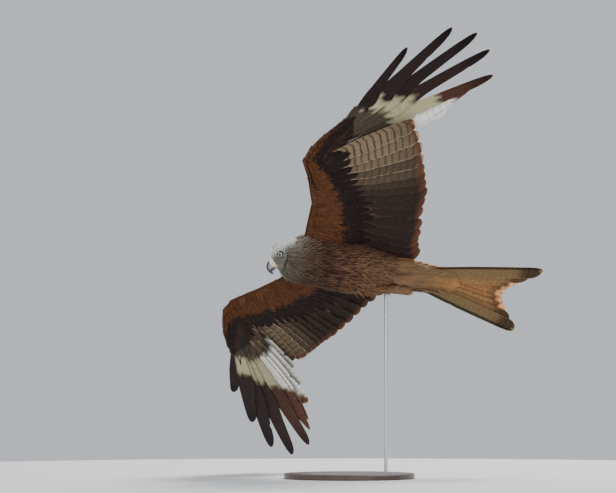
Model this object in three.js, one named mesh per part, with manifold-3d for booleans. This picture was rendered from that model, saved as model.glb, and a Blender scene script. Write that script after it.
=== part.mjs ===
// A red kite (Milvus milvus) in a banked glide, life size, carried by a plain stand.
// Millimetres, +Z up. The origin is the centre of the stand's underside.
// The bird is built in its own axes, x to the bill, y to its left wing, z to its back,
// and then turned as a whole into its attitude on the stand.
import * as THREE from "three";
import { mergeVertices } from "three/addons/utils/BufferGeometryUtils.js";
import Module from "manifold-3d";

const wasm = await Module();
wasm.setup();
const V = (x, y, z) => new THREE.Vector3(x, y, z);
const deg = THREE.MathUtils.degToRad;
const lerp = THREE.MathUtils.lerp;

// Attitude of the bird and its place over the stand
const BODY_AT = V(-10, -25, 487);
const HEADING = -159.38;
const PITCH = 6.43;
const BANK = 51.63;

// Stand: a turned base and one upright rod
const BASE_RADIUS = 150;
const BASE_HEIGHT = 12;
const BASE_CHAMFER = 2;
const ROD_RADIUS = 4;
const ROD_AT = V(84, 19, 0);
const GAP = 0.3; // between nodes that meet
const WELD = 0.02; // edges shorter than this are closed up

// Torso, neck and tail root: sections across x as [x, half width, half height, z]
const TORSO = [[84, 58, 57, 2], [62, 60, 58, 1], [30, 61, 60, -1], [-5, 61, 60, -2],
  [-45, 57, 54, -3], [-85, 49, 43, -4], [-118, 39, 31, -5]];
const NECK = [[84, 58, 57, 2, 0], [100, 59, 58, 4, 0.5], [116, 56, 55, 6, -1], [130, 51, 50, 6, -3],
  [143, 43.5, 43, 7, -4.5], [152, 35.5, 35, 9, -4], [159, 23, 24, 11, -3]];
const TAIL_ROOT = [[-118, 39, 31, -5], [-140, 34, 22, -6], [-165, 30, 14, -7],
  [-190, 26, 9.5, -7], [-212, 21, 6.5, -7]];

// Head, in its own axes from the middle of the skull
const HEAD_AT = V(149.5, 5.2, 16.7);
const HEAD_TURN = { yaw: -49.2, pitch: -8.4, roll: -62.9 };
const HEAD_SCALE = 1.03;
const HEAD = [[-36, 17, 17, -4], [-28, 23, 22.5, -3.5], [-16, 26, 26, -2.5], [-3, 26.5, 27, -1],
  [9, 24.5, 26.5, 0], [18, 19.5, 23, -1], [25, 14.5, 18.5, -3.2], [29, 10.5, 14.2, -5.2]];
const EYE_AT = V(5.5, 18.2, 5);
const EYE_RADIUS = 8.2;
const LID = { radius: 6.2, tube: 1.35, out: 5.6 }; // ring round the open eye, ahead of its middle
const NOSTRIL = V(33.4, 8.6, -3.2);
const GAPE = V(22, 14.6, -13.2); // middle of the mouth line on the cheek
const CERE = [[29, 9.6, 11.4, -5.4], [33, 8.6, 10.2, -5.1], [37, 7.7, 9.2, -5.2]];
// Bill: centre x, z, half height, half width, direction of the section's normal in degrees
const BILL_UPPER = [[37, -4.8, 8.8, 7.4, 0], [42, -6.4, 7.8, 6.1, -20], [46.2, -10, 6.2, 4.8, -46],
  [48.2, -14.6, 4.4, 3.5, -72], [48.2, -20, 2.7, 2.2, -94], [46.6, -26, 0.5, 0.5, -106]];
const BILL_LOWER = [[29.4, -17.4, 3.4, 7.0, 2], [37, -17.2, 3.0, 5.6, 2], [44, -16.6, 2.2, 4.0, 8],
  [48, -15.9, 1.0, 1.8, 12]];

// Wing joints in the bird's axes: left, then right with y mirrored where it is used
const WING = {
  left: {
    side: 1, shoulder: V(68, 38, 22), elbow: V(51, 155, 33), wrist: V(158, 235, 50),
    handSweep: 55, handPlane: { front: 0.191, out: 0.388 },
    lead: [V(106, 20, 24), V(113, 80, 29), V(118, 137, 36), V(147, 202, 46), V(171, 240, 51)],
    rear: [V(-45, 20, 14), V(0, 85, 20), V(32, 155, 31), V(92, 208, 41), V(143, 252, 51)],
    // Primaries from the innermost: length, sweep out from straight back, rise
    finger: [[0, 1.5, 1.5], [0.12, 6, 17], [0.44, 10, 31], [0.58, 8, 19], [0.9, 6.5, 13], [1, 1.5, 2]],
    length: [260, 289, 318, 336, 358, 408, 416, 402, 356, 244],
    sweep: [34.5, 34.1, 33.3, 33.3, 33.9, 34.7, 41.7, 48, 54.8, 63.6],
    rise: [3.6, 3.4, 3, 3, 3.3, 3.7, 6.6, 9.1, 11.5, 14.7],
    // Rear edge of the inner wing, from the first secondary to the last tertial
    edge: [V(-52, 393, 48), V(-86, 343, 42), V(-106, 292, 35), V(-120, 258, 30), V(-135, 223, 25),
      V(-139, 178, 20), V(-153, 119, 13), V(-153, 88, 9), V(-166, 62, 5)],
  },
  right: {
    side: -1, shoulder: V(68, 38, 22), elbow: V(79, 155, 38), wrist: V(201, 208, 55),
    handSweep: 66, handPlane: { front: 0.4, out: 0.39 },
    lead: [V(100, 20, 20), V(127, 82, 32), V(165, 125, 41), V(209, 171, 52), V(222, 206, 57)],
    rear: [V(-45, 20, 14), V(10, 85, 22), V(60, 158, 36), V(135, 196, 48), V(182, 228, 56)],
    finger: [[0, 1.5, 1.5], [0.12, 6, 17], [0.58, 10, 31], [0.7, 9, 25], [0.92, 7.5, 17], [1, 1.5, 2]],
    length: [238, 277, 325, 365, 388, 428, 450, 412, 311, 199],
    sweep: [37.2, 38.6, 41, 43.1, 44.3, 47.4, 53.3, 58.3, 62.5, 70.3],
    rise: [0.6, -1.1, -1.2, -1, -0.8, 0.9, 4.2, 6.9, 9.2, 14.5],
    edge: [V(36, 352, 66), V(-10, 320, 57), V(-22, 286, 47), V(-34, 258, 41), V(-55, 226, 36),
      V(-78, 174, 28), V(-97, 118, 20), V(-120, 72, 12)],
  },
};
const PRIMARY_SPACING = 11;
const FIRST_PRIMARY = 8;
const SECONDARIES = 10;
const TERTIALS = 5;

// Tail: twelve feathers, fan from the outermost left to the outermost right
const TAIL_BASE = V(-150, 6, -8);
const TAIL_LEFT = { sweep: 9.7, length: 316, rise: -2.5 };
const TAIL_RIGHT = { sweep: -18.4, length: 316, rise: -2.0 };
const TAIL_FORK = 72; // how much shorter the middle pair is

// Vanes: share of the length, leading width, trailing width at each station
const VANE_EDGE = 0.5; // thickness at the rim
const VANE_SHAFT = 0.62; // thickness along the shaft
const LAYER = 0.95; // from one vane's middle to the next where they are stacked
const SLAT = 5.5; // tilt of the secondaries, leading rim up
const REMEX = [[0, 1.5, 1.5], [0.14, 8, 18], [0.5, 12, 29], [0.9, 11, 25], [1, 3, 5]];
const COVERT = [[0, 1.5, 1.5], [0.5, 10, 19], [0.9, 9, 16], [1, 3, 4]];
const SHORT = [[0, 1.5, 1.5], [0.55, 10, 19], [1, 5, 8]];
const RECTRIX = [[0, 1.5, 1.5], [0.14, 7, 14], [0.5, 9, 23], [0.92, 8, 23], [1, 3, 5]];

// Closed body through rings of equal count, with flat ends fanned from their middles
function loft(rings) {
  const n = rings[0].length, pos = [], idx = [];
  rings.forEach((r) => r.forEach((p) => pos.push(p.x, p.y, p.z)));
  for (let s = 0; s + 1 < rings.length; s++)
    for (let k = 0; k < n; k++) {
      const a = s * n + k, b = s * n + (k + 1) % n, c = a + n, d = b + n;
      idx.push(a, b, d, a, d, c);
    }
  for (const [s, flip] of [[0, true], [rings.length - 1, false]]) {
    const mid = V(0, 0, 0);
    rings[s].forEach((p) => mid.addScaledVector(p, 1 / n));
    const m = pos.length / 3;
    pos.push(mid.x, mid.y, mid.z);
    for (let k = 0; k < n; k++) {
      const a = s * n + k, b = s * n + (k + 1) % n;
      idx.push(m, flip ? b : a, flip ? a : b);
    }
  }
  return toGeometry(pos, idx);
}

function toGeometry(pos, idx) {
  const g = new THREE.BufferGeometry();
  g.setAttribute("position", new THREE.Float32BufferAttribute(pos, 3));
  g.setIndex(idx);
  return g;
}

// Ring of an ellipse with half axes a (along u) and b (along v)
function ellipse(at, u, a, v, b, count) {
  return Array.from({ length: count }, (_, k) => {
    const t = (2 * Math.PI * k) / count;
    return at.clone().addScaledVector(u, a * Math.cos(t)).addScaledVector(v, b * Math.sin(t));
  });
}

// Body of elliptical sections across x: [x, half width, half height, z, y], grown by `grow`
function sections(list, count, grow = 0, ends = 0) {
  const rings = list.map(([x, w, h, z, y = 0], i) => {
    const shift = i === 0 ? Math.sign(x - list[1][0]) * ends
      : i === list.length - 1 ? -Math.sign(list[0][0] - x) * ends : 0;
    return ellipse(V(x + shift, y, z), V(0, 1, 0), w + grow, V(0, 0, 1), h + grow, count);
  });
  if (list[0][0] > list.at(-1)[0]) rings.reverse();
  return loft(rings);
}

// Geometry to solid, always facing out
function solid(geometry) {
  const g = geometry.index ? geometry.toNonIndexed() : geometry.clone();
  g.deleteAttribute("normal");
  g.deleteAttribute("uv");
  const m = mergeVertices(g, 1e-4), all = m.index.array, kept = [];
  for (let i = 0; i < all.length; i += 3) {
    const [a, b, c] = all.slice(i, i + 3);
    if (a !== b && b !== c && a !== c) kept.push(a, b, c);
  }
  const tri = new Uint32Array(kept);
  const make = () => new wasm.Manifold(new wasm.Mesh({
    numProp: 3, vertProperties: m.attributes.position.array, triVerts: tri }));
  const s = make();
  if (s.volume() >= 0) return s;
  for (let i = 0; i < tri.length; i += 3) [tri[i + 1], tri[i + 2]] = [tri[i + 2], tri[i + 1]];
  return make();
}

const join = (list) => list.reduce((a, b) => a.add(b));
const largest = (s) => s.simplify(WELD).decompose().sort((a, b) => b.volume() - a.volume())[0];

function fromSolid(s) {
  const m = s.getMesh(), n = m.numProp, pos = [];
  for (let i = 0; i < m.numVert; i++) pos.push(...m.vertProperties.subarray(i * n, i * n + 3));
  return toGeometry(pos, [...m.triVerts]);
}

// Everything on the far side of a plane through `at`, as a large block
function beyond(at, normal, size = 1200) {
  const box = new THREE.BoxGeometry(size, size, size);
  box.translate(0, 0, size / 2);
  box.applyQuaternion(new THREE.Quaternion().setFromUnitVectors(V(0, 0, 1), normal));
  box.translate(at.x, at.y, at.z);
  return solid(box);
}

const flip = (p, side) => V(p.x, p.y * side, p.z);

// Point at share t along a polyline of evenly counted points
function along(points, t) {
  const f = Math.min(t * (points.length - 1), points.length - 1 - 1e-9), i = Math.floor(f);
  return points[i].clone().lerp(points[i + 1], f - i);
}

// Flight feathers of one wing, from the last tertial out to the tenth primary
function flightFeathers(w) {
  const list = [], s = w.side, wrist = flip(w.wrist, s), elbow = flip(w.elbow, s);
  const shoulder = flip(w.shoulder, s);
  const inner = SECONDARIES + TERTIALS;
  for (let i = inner - 1; i >= 0; i--) {
    const tip = flip(along(w.edge, i / (inner - 1)), s);
    const root = i < SECONDARIES
      ? wrist.clone().lerp(elbow, (i + 0.6) / SECONDARIES)
      : elbow.clone().lerp(shoulder, 0.05 + (0.75 * (i - SECONDARIES + 0.6)) / TERTIALS);
    if (i >= SECONDARIES) root.x = lerp(elbow.x, 24, (i - SECONDARIES + 1) / TERTIALS);
    list.push({ root, tip, kind: "inner", index: i });
  }
  const a = deg(w.handSweep);
  const { front, out } = w.handPlane;
  const bone = V(-Math.cos(a), s * Math.sin(a), out * Math.sin(a) - front * Math.cos(a)).normalize();
  for (let i = 0; i < 10; i++) {
    const root = wrist.clone().addScaledVector(bone, FIRST_PRIMARY + PRIMARY_SPACING * i);
    const sw = deg(w.sweep[i]), ri = deg(w.rise[i]);
    const dir = V(-Math.cos(sw) * Math.cos(ri), s * Math.sin(sw) * Math.cos(ri), Math.sin(ri));
    list.push({ root, tip: root.clone().addScaledVector(dir, w.length[i]), kind: "hand", index: i });
  }
  list.forEach((f, i) => {
    const p = list[Math.max(i - 1, 0)], q = list[Math.min(i + 1, inner - 1)];
    const span = q.tip.clone().sub(p.tip).add(q.root.clone().sub(p.root));
    f.dir = f.tip.clone().sub(f.root);
    f.length = f.dir.length();
    f.dir.normalize();
    const flat = V(-front, -out * s, 1);
    f.normal = f.kind === "inner" ? f.dir.clone().cross(span).multiplyScalar(-s)
      : flat.addScaledVector(f.dir, -flat.dot(f.dir));
    f.normal.normalize();
    f.out = f.normal.clone().cross(f.dir).multiplyScalar(-s).normalize();
  });
  return list;
}

// One feather: a thin plate of two grids along its shaft, its rims thinner than its middle.
// `out` points to the leading rim, `tilt` lifts that rim, `level` shifts the whole vane.
function vane(f, stations, { length = f.length, tilt = 0, level = 0, bend = 0, back = 8, wide = 1 }) {
  const a = deg(tilt), top = [], bottom = [];
  const across = f.out.clone().multiplyScalar(Math.cos(a)).addScaledVector(f.normal, Math.sin(a));
  const up = f.normal.clone().multiplyScalar(Math.cos(a)).addScaledVector(f.out, -Math.sin(a));
  for (const [t, lead, trail] of stations) {
    const p = f.root.clone().addScaledVector(f.dir, -back + (length + back) * t)
      .addScaledVector(f.out, bend * length * (t - t * t)).addScaledVector(f.normal, level);
    for (const [shift, thick] of [[lead, VANE_EDGE], [0, VANE_SHAFT], [-trail, VANE_EDGE]]) {
      const q = p.clone().addScaledVector(across, shift * wide);
      top.push(q.clone().addScaledVector(up, thick / 2));
      bottom.push(q.clone().addScaledVector(up, -thick / 2));
    }
  }
  return solid(plate(top, bottom, stations.length, 3));
}

// Feather frame between two neighbours of a row, moved forward along the shaft
function between(row, at, forward = 0) {
  const i = Math.min(Math.floor(at), row.length - 2), t = at - i, f = {};
  for (const key of ["root", "dir", "normal"]) f[key] = row[i][key].clone().lerp(row[i + 1][key], t);
  f.dir.normalize();
  f.normal.normalize();
  f.out = f.normal.clone().cross(f.dir).normalize();
  if (f.out.dot(row[i].out) < 0) f.out.negate();
  f.length = lerp(row[i].length, row[i + 1].length, t);
  f.root.addScaledVector(f.dir, -forward);
  return f;
}

// Row of coverts over a row of flight feathers
function tier(row, count, { from = 0, to = row.length - 1, forward, reach, level, tilt, wide = 1, back = 8 }) {
  return Array.from({ length: count }, (_, k) => {
    const at = lerp(from, to, k / (count - 1)), f = between(row, at, forward);
    const length = (Array.isArray(reach) ? lerp(reach[0], reach[1], k / (count - 1)) : reach)
      * (1 + 0.02 * Math.sin(2.3 * k + level));
    return vane(f, SHORT, { length, tilt, level, wide, back });
  });
}

// Closed plate from two grids of points that face one another, split alike on both faces
function plate(top, bottom, rows, cols) {
  const pos = [], idx = [], n = rows * cols;
  [...top, ...bottom].forEach((p) => pos.push(p.x, p.y, p.z));
  for (let r = 0; r + 1 < rows; r++)
    for (let c = 0; c + 1 < cols; c++) {
      const a = r * cols + c, b = a + 1, d = a + cols, e = d + 1;
      idx.push(a, b, e, a, e, d, n + a, n + e, n + b, n + a, n + d, n + e);
    }
  const wall = (b, a) => idx.push(a, n + a, n + b, a, n + b, b);
  for (let r = 0; r + 1 < rows; r++) {
    wall(r * cols, (r + 1) * cols);
    wall((r + 2) * cols - 1, (r + 1) * cols - 1);
  }
  for (let c = 0; c + 1 < cols; c++) {
    wall(c + 1, c);
    wall((rows - 1) * cols + c, (rows - 1) * cols + c + 1);
  }
  return toGeometry(pos, idx);
}

// Flesh of the wing: flattened sections from leading edge to the line of the quills
function limb(leads, rears, thick, normal) {
  const rings = leads.map((a, i) => {
    const b = rears[i], mid = a.clone().add(b).multiplyScalar(0.5);
    const u = a.clone().sub(b), half = u.length() / 2;
    return ellipse(mid, u.normalize(), half, normal, thick[i] / 2, 12);
  });
  return solid(loft(rings));
}

function wingParts(w) {
  const s = w.side, feathers = flightFeathers(w), wrist = flip(w.wrist, s);
  const inner = feathers.filter((f) => f.kind === "inner"), hand = feathers.filter((f) => f.kind === "hand");
  const first = inner.at(-1), p1 = hand[0], p10 = hand.at(-1);
  const lead = w.lead.map((p) => flip(p, s)), rear = w.rear.map((p) => flip(p, s));
  const arm = [limb(lead, rear, [32, 25, 23, 21, 19], V(-0.08, -0.11 * s, 1).normalize())];
  inner.forEach((f) => arm.push(vane(f, REMEX, { tilt: SLAT, bend: 0.03 })));
  arm.push(...tier(inner, 9, { to: 13.6, forward: 6, reach: [92, 104], level: 4.4, tilt: SLAT }));
  arm.push(...tier(inner, 9, { to: 13.6, forward: 6, reach: [92, 104], level: -5.2, tilt: SLAT }));
  arm.push(...tier(inner, 6, { to: 13, forward: 24, reach: [70, 64], level: 8.4, tilt: SLAT, wide: 1.15 }));
  arm.push(...tier(inner, 6, { to: 13, forward: 24, reach: [70, 64], level: -9.4, tilt: SLAT, wide: 1.15 }));

  const bone = p10.root.clone().sub(p1.root).multiplyScalar(1 / 9);
  const handUp = hand[5].normal, ahead = [22, 24, 25, 21, 12], half = [19, 19, 18, 15, 11];
  const forward = p10.out.clone().add(V(1, 0, 0)).normalize();
  const spots = [-2, 2.5, 6, 9, 11.5].map((k) => p1.root.clone().addScaledVector(bone, k));
  const front = spots.map((p, i) => p.clone().addScaledVector(forward, ahead[i]));
  const back = spots.map((p) => p.clone().addScaledVector(hand[5].dir, 14));
  const palm = [limb(front, back, half, handUp)];
  hand.forEach((f, i) => palm.push(vane(f, i > 4 ? w.finger : REMEX, {
    level: (4.5 - i) * LAYER, bend: i > 4 ? 0.035 : 0.02, wide: i === 9 ? 0.8 : 1 })));
  palm.push(...tier(hand, 6, { from: 0.2, to: 8, forward: 4, reach: [96, 112], level: 8.1, tilt: 9 }));
  palm.push(...tier(hand, 6, { from: 0.2, to: 8, forward: 4, reach: [96, 112], level: -6.9, tilt: 9 }));
  for (let k = 0; k < 3; k++) {
    const f = { ...between(hand, 8), root: spots[1].clone().addScaledVector(bone, 1.1 * k)
      .addScaledVector(forward, 11 + 3 * k) };
    palm.push(vane(f, COVERT, { length: 92 - 8 * k, level: 5.2 - LAYER * k, wide: 0.62 }));
  }
  // Parting plane through the wrist, between the first secondary and the first primary
  const mid = first.tip.clone().lerp(p1.tip, 0.3);
  const cut = mid.sub(wrist).cross(first.normal).normalize();
  if (cut.y * s < 0) cut.negate();
  const outer = beyond(wrist.clone().addScaledVector(cut, GAP / 2), cut);
  const innerSide = beyond(wrist.clone().addScaledVector(cut, -GAP / 2), cut.clone().negate());
  return { arm: join(arm).intersect(innerSide), hand: join(palm).intersect(outer) };
}

function tailFeathers() {
  return Array.from({ length: 12 }, (_, i) => {
    const t = i / 11, sweep = deg(lerp(TAIL_LEFT.sweep, TAIL_RIGHT.sweep, t));
    const rise = deg(lerp(TAIL_LEFT.rise, TAIL_RIGHT.rise, t));
    const fork = 1 - Math.abs(2 * t - 1);
    const length = lerp(TAIL_LEFT.length, TAIL_RIGHT.length, t) - TAIL_FORK * (1 - (1 - fork) ** 2.2);
    const root = TAIL_BASE.clone().add(V(0, lerp(14, -14, t), 0));
    const dir = V(-Math.cos(sweep) * Math.cos(rise), Math.sin(sweep) * Math.cos(rise), Math.sin(rise));
    const out = V(0, 0, 1).cross(dir).normalize().multiplyScalar(i > 5 ? 1 : -1);
    return { root, dir, length, out, tip: root.clone().addScaledVector(dir, length),
      normal: V(0, 0, 1), index: i };
  });
}

// Turn a geometry from the head's axes into the bird's
function onHead(geometry) {
  const { yaw, pitch, roll } = HEAD_TURN;
  const turn = new THREE.Euler(deg(roll), deg(-pitch), deg(yaw), "ZYX");
  const size = V(HEAD_SCALE, HEAD_SCALE, HEAD_SCALE);
  return geometry.applyMatrix4(new THREE.Matrix4().makeRotationFromEuler(turn).scale(size)
    .setPosition(HEAD_AT));
}

function billBody(list, grow = 0) {
  return onHead(loft(list.map(([x, z, h, w, tilt]) => {
    const t = deg(tilt);
    return ellipse(V(x, 0, z), V(0, 1, 0), w + grow, V(-Math.sin(t), 0, Math.cos(t)), h + grow, 14);
  })));
}

function ball(at, rx, ry, rz, wide = 14, high = 10) {
  const g = new THREE.SphereGeometry(1, wide, high);
  g.scale(rx, ry, rz);
  g.translate(at.x, at.y, at.z);
  return g;
}

// Round tube through points, with a radius at each
function tube(points, radii, sides = 5) {
  return loft(points.map((p, i) => {
    const ahead = (points[i + 1] ?? p).clone().sub(points[i - 1] ?? p).normalize();
    const u = ahead.clone().cross(V(0, 0, 1)).normalize(), v = u.clone().cross(ahead);
    return ellipse(p, u, radii[i], v, radii[i], sides);
  }));
}

const nodes = {};

// Head, eyes, bill
// Heavy brow and the ring of lid skin round the open eye
function brow(side, grow) {
  const lid = new THREE.TorusGeometry(LID.radius, LID.tube + grow, 5, 18);
  const look = V(0.2, 0.97 * side, 0.1).normalize(), at = flip(EYE_AT, side).addScaledVector(look, LID.out);
  lid.applyQuaternion(new THREE.Quaternion().setFromUnitVectors(V(0, 0, 1), look));
  return solid(onHead(lid.translate(at.x, at.y, at.z)))
    .add(solid(onHead(ball(flip(V(7, 17.5, 13), side), 11 + grow, 5 + grow, 3.2 + grow))));
}
const eyeBall = (side, grow) => solid(onHead(ball(flip(EYE_AT, side), EYE_RADIUS + grow,
  EYE_RADIUS + grow, EYE_RADIUS + grow, 12, 9)));
let head = solid(onHead(sections(HEAD, 22)));
let cere = solid(onHead(sections(CERE, 16, 0, -GAP / 2)));
const billUpper = solid(billBody(BILL_UPPER.map((r, i) => (i ? r : [r[0] + GAP, ...r.slice(1)]))));
const billLower = solid(billBody(BILL_LOWER)).subtract(solid(billBody(BILL_UPPER, GAP)))
  .subtract(solid(onHead(sections(CERE, 16, GAP, GAP)))).subtract(solid(onHead(sections(HEAD, 22, GAP, GAP))));
for (const side of [1, -1]) {
  head = head.add(brow(side, 0));
  head = head.subtract(eyeBall(side, GAP));
  const slit = ball(V(0, 0, 0), 8.5, 1.6, 0.8, 8, 6).rotateZ(deg(-34 * side));
  head = head.subtract(solid(onHead(slit.translate(GAPE.x, GAPE.y * side, GAPE.z))));
  const nostril = ball(V(0, 0, 0), 2.2, 1.7, 0.9, 8, 6).rotateY(deg(-24));
  cere = cere.subtract(solid(onHead(nostril.translate(NOSTRIL.x, NOSTRIL.y * side, NOSTRIL.z))));
  nodes[side > 0 ? "eye_left" : "eye_right"] = eyeBall(side, 0);
}
nodes.head = head;
nodes.cere = cere;
nodes.bill_upper = billUpper;
nodes.bill_lower = billLower;

// Torso, neck, tail
const torso = solid(sections(TORSO, 28, 0, -GAP / 2));
const torsoClear = solid(sections(TORSO, 28, GAP, GAP / 2));
const headClear = solid(onHead(sections(HEAD, 22, GAP, GAP)));
nodes.neck = solid(sections(NECK, 26, 0, -GAP / 2)).subtract(headClear)
  .subtract(brow(1, GAP)).subtract(brow(-1, GAP)).subtract(eyeBall(1, GAP)).subtract(eyeBall(-1, GAP))
  .subtract(solid(billBody(BILL_LOWER, GAP))).subtract(solid(onHead(sections(CERE, 16, GAP, GAP))));
const bodyClear = torsoClear.add(solid(sections(NECK, 26, GAP, GAP)));
const tail = tailFeathers();
const tailPieces = [solid(sections(TAIL_ROOT, 20, 0, -GAP / 2))];
tail.forEach((f, i) => {
  const right = i > 5, k = right ? i - 6 : 5 - i;
  tailPieces.push(vane(f, RECTRIX, { level: 4.6 - 0.9 * (2 * k + right), bend: 0.02 }));
});
for (let k = 0; k < 5; k++) {
  tailPieces.push(vane(between(tail, 1 + 2.25 * k, 18), COVERT,
    { length: 96 + 8 * (2 - Math.abs(k - 2)), level: 6.2 + LAYER * k, wide: 0.95 }));
  tailPieces.push(vane(between(tail, 1 + 2.25 * k, 14), COVERT,
    { length: 136 + 10 * (2 - Math.abs(k - 2)), level: -7.3 - LAYER * k, wide: 0.95 }));
}
nodes.tail = join(tailPieces);

// Legs folded against the belly, toes half closed under the tail coverts
for (const side of [1, -1]) {
  let leg = solid(ball(V(-48, 24 * side, -40.5), 42, 17.5, 19, 12, 8));
  leg = leg.add(solid(tube([V(-66, 24 * side, -49), V(-84, 20 * side, -49), V(-103, 16 * side, -45)],
    [5.5, 4.6, 4], 8)));
  for (const [spread, reach, drop] of [[-6, 22, 0], [0.5, 28, 1], [7, 23, 0]])
    leg = leg.add(solid(tube([V(-98, 16 * side, -45), V(-100 - 0.6 * reach, (16 + 0.7 * spread) * side, -44 - drop),
      V(-100 - reach, (16 + spread) * side, -45 - drop), V(-106 - reach, (16 + spread) * side, -48 - drop),
      V(-108 - reach, (16 + spread) * side, -54 - drop)], [3.2, 2.8, 2.2, 1.6, 0.3])));
  leg = leg.add(solid(tube([V(-98, 17 * side, -46), V(-103, 18 * side, -52), V(-108, 18 * side, -56),
    V(-114, 18 * side, -57)], [3, 2.6, 1.6, 0.3])));
  nodes[side > 0 ? "left_leg" : "right_leg"] = leg.subtract(torsoClear);
}

for (const name of ["left", "right"]) {
  const { arm, hand } = wingParts(WING[name]);
  nodes[name + "_wing_arm"] = arm.subtract(bodyClear);
  nodes[name + "_wing_hand"] = hand;
}
nodes.torso = torso;

const COLOURS = {
  head: 0xb9b2a4, neck: 0xa08468, torso: 0x8a5632, tail: 0xb0703c, cere: 0xd9b36a, bill_upper: 0x1f1c1a,
  bill_lower: 0x2a2622, eye_left: 0xc9c2a0, eye_right: 0xc9c2a0, left_leg: 0x9a5c34, right_leg: 0x9a5c34,
  left_wing_arm: 0x6b4430, right_wing_arm: 0x6b4430, left_wing_hand: 0x4a3c36, right_wing_hand: 0x4a3c36,
};

const group = new THREE.Group();
const bird = new THREE.Group();
bird.position.copy(BODY_AT);
bird.rotation.set(deg(BANK), deg(-PITCH), deg(HEADING), "ZYX");
group.add(bird);
bird.updateMatrixWorld(true);
for (const [name, s] of Object.entries(nodes)) {
  const mesh = new THREE.Mesh(fromSolid(largest(s)),
    new THREE.MeshStandardMaterial({ color: COLOURS[name], roughness: 0.8, metalness: 0 }));
  mesh.name = name;
  bird.add(mesh);
}

// Stand
const steel = new THREE.MeshStandardMaterial({ color: 0x8d9094, roughness: 0.35, metalness: 1 });
const dark = new THREE.MeshStandardMaterial({ color: 0x2b2b2d, roughness: 0.5, metalness: 0.2 });
const profile = [[0, 0], [BASE_RADIUS - 1, 0], [BASE_RADIUS, 1], [BASE_RADIUS, BASE_HEIGHT - BASE_CHAMFER],
  [BASE_RADIUS - BASE_CHAMFER, BASE_HEIGHT], [0, BASE_HEIGHT]].map(([r, z]) => new THREE.Vector2(r, z));
const baseGeometry = new THREE.LatheGeometry(profile, 64).rotateX(Math.PI / 2);
const base = new THREE.Mesh(fromSolid(solid(baseGeometry)), dark);
base.name = "stand_base";
group.add(base);
const rodHeight = 470;
const rodGeometry = new THREE.CylinderGeometry(ROD_RADIUS, ROD_RADIUS, rodHeight, 24);
rodGeometry.rotateX(Math.PI / 2);
rodGeometry.translate(ROD_AT.x, ROD_AT.y, BASE_HEIGHT + GAP + rodHeight / 2);
const keepOut = solid(sections(TORSO, 28, GAP, GAP).applyMatrix4(bird.matrixWorld));
const lower = solid(rodGeometry).subtract(keepOut).decompose()
  .sort((a, b) => a.boundingBox().min[2] - b.boundingBox().min[2])[0];
const rod = new THREE.Mesh(fromSolid(lower), steel);
rod.name = "stand_rod";
group.add(rod);

export default group;
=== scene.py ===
# %% [markdown]
# A red kite in a banked glide, life size, on a plain stand.
# The packed solids give every place and size. This file adds the looks: skin, feathers,
# bill, eyes, feet, the finish of the stand, the light and the camera.

# %% Frame and sizes
import bpy
import numpy as np
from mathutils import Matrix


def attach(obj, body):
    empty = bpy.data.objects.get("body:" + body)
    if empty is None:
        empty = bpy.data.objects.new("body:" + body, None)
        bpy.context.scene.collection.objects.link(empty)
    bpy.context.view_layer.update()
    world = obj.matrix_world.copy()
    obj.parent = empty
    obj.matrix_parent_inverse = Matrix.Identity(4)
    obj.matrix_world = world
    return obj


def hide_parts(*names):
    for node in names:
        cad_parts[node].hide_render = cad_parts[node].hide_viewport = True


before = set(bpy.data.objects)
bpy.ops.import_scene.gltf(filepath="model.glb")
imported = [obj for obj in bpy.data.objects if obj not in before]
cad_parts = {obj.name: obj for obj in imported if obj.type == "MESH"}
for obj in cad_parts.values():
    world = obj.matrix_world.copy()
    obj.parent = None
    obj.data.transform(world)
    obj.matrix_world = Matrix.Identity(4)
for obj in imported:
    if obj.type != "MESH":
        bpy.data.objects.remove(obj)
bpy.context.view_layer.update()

rng = np.random.default_rng(1907)

# %% [markdown]
# The bird is worked out in its own axes in millimetres: x to the bill, y to its left wing,
# z to its back. One rotation and one shift then carry every point to its place over the
# stand, so a feather is laid on the body as it lies on a real bird, and the bank of the
# whole glide is a single matrix. The head has axes of its own, because it looks aside.

# %% Axes of the bird and of its head
def turn(roll, pitch, yaw):
    """Rotation matrix Rz(yaw) Ry(-pitch) Rx(roll), angles in degrees."""
    a, b, c = np.radians([roll, -pitch, yaw])
    rx = np.array([[1, 0, 0], [0, np.cos(a), -np.sin(a)], [0, np.sin(a), np.cos(a)]])
    ry = np.array([[np.cos(b), 0, np.sin(b)], [0, 1, 0], [-np.sin(b), 0, np.cos(b)]])
    rz = np.array([[np.cos(c), -np.sin(c), 0], [np.sin(c), np.cos(c), 0], [0, 0, 1]])
    return rz @ ry @ rx


BODY_AT, BODY_TURN = np.array([-10, -25, 487.0]), turn(51.63, 6.43, -159.38)
HEAD_AT, HEAD_TURN = np.array([149.5, 5.2, 16.7]), 1.03 * turn(-62.9, -8.4, -49.2)


def to_world(p):
    """Bird's millimetres to world metres: (BODY_AT + R p) / 1000."""
    return (BODY_AT + p @ BODY_TURN.T) / 1000


def from_head(p):
    """Head's millimetres to the bird's: HEAD_AT + 1.03 H p."""
    return HEAD_AT + p @ HEAD_TURN.T


def unit(v):
    """v / |v| along the last axis."""
    return v / np.maximum(np.linalg.norm(v, axis=-1, keepdims=True), 1e-9)


print("bill points to", np.round(BODY_TURN @ HEAD_TURN @ [1, 0, 0], 2))

# %% [markdown]
# The camera stands level with the bird and far off, as a long lens does for a bird in the
# air, so that the wings keep their true proportions. A short lens nearby would make the
# near wing look too large. The floor is a pale disc that the stand rests on.

# %% Camera and floor
SENSOR_MM, LENS_MM, FAR_M = 36, 400, 60
CAMERA_AT = (-0.0947, -15.685, 0.5316)
FLOOR_RADIUS, FLOOR_AT, FLOOR_COLOUR, FLOOR_CORNERS = 1.5, -0.0005, (0.72, 0.73, 0.74, 1), 96

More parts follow.
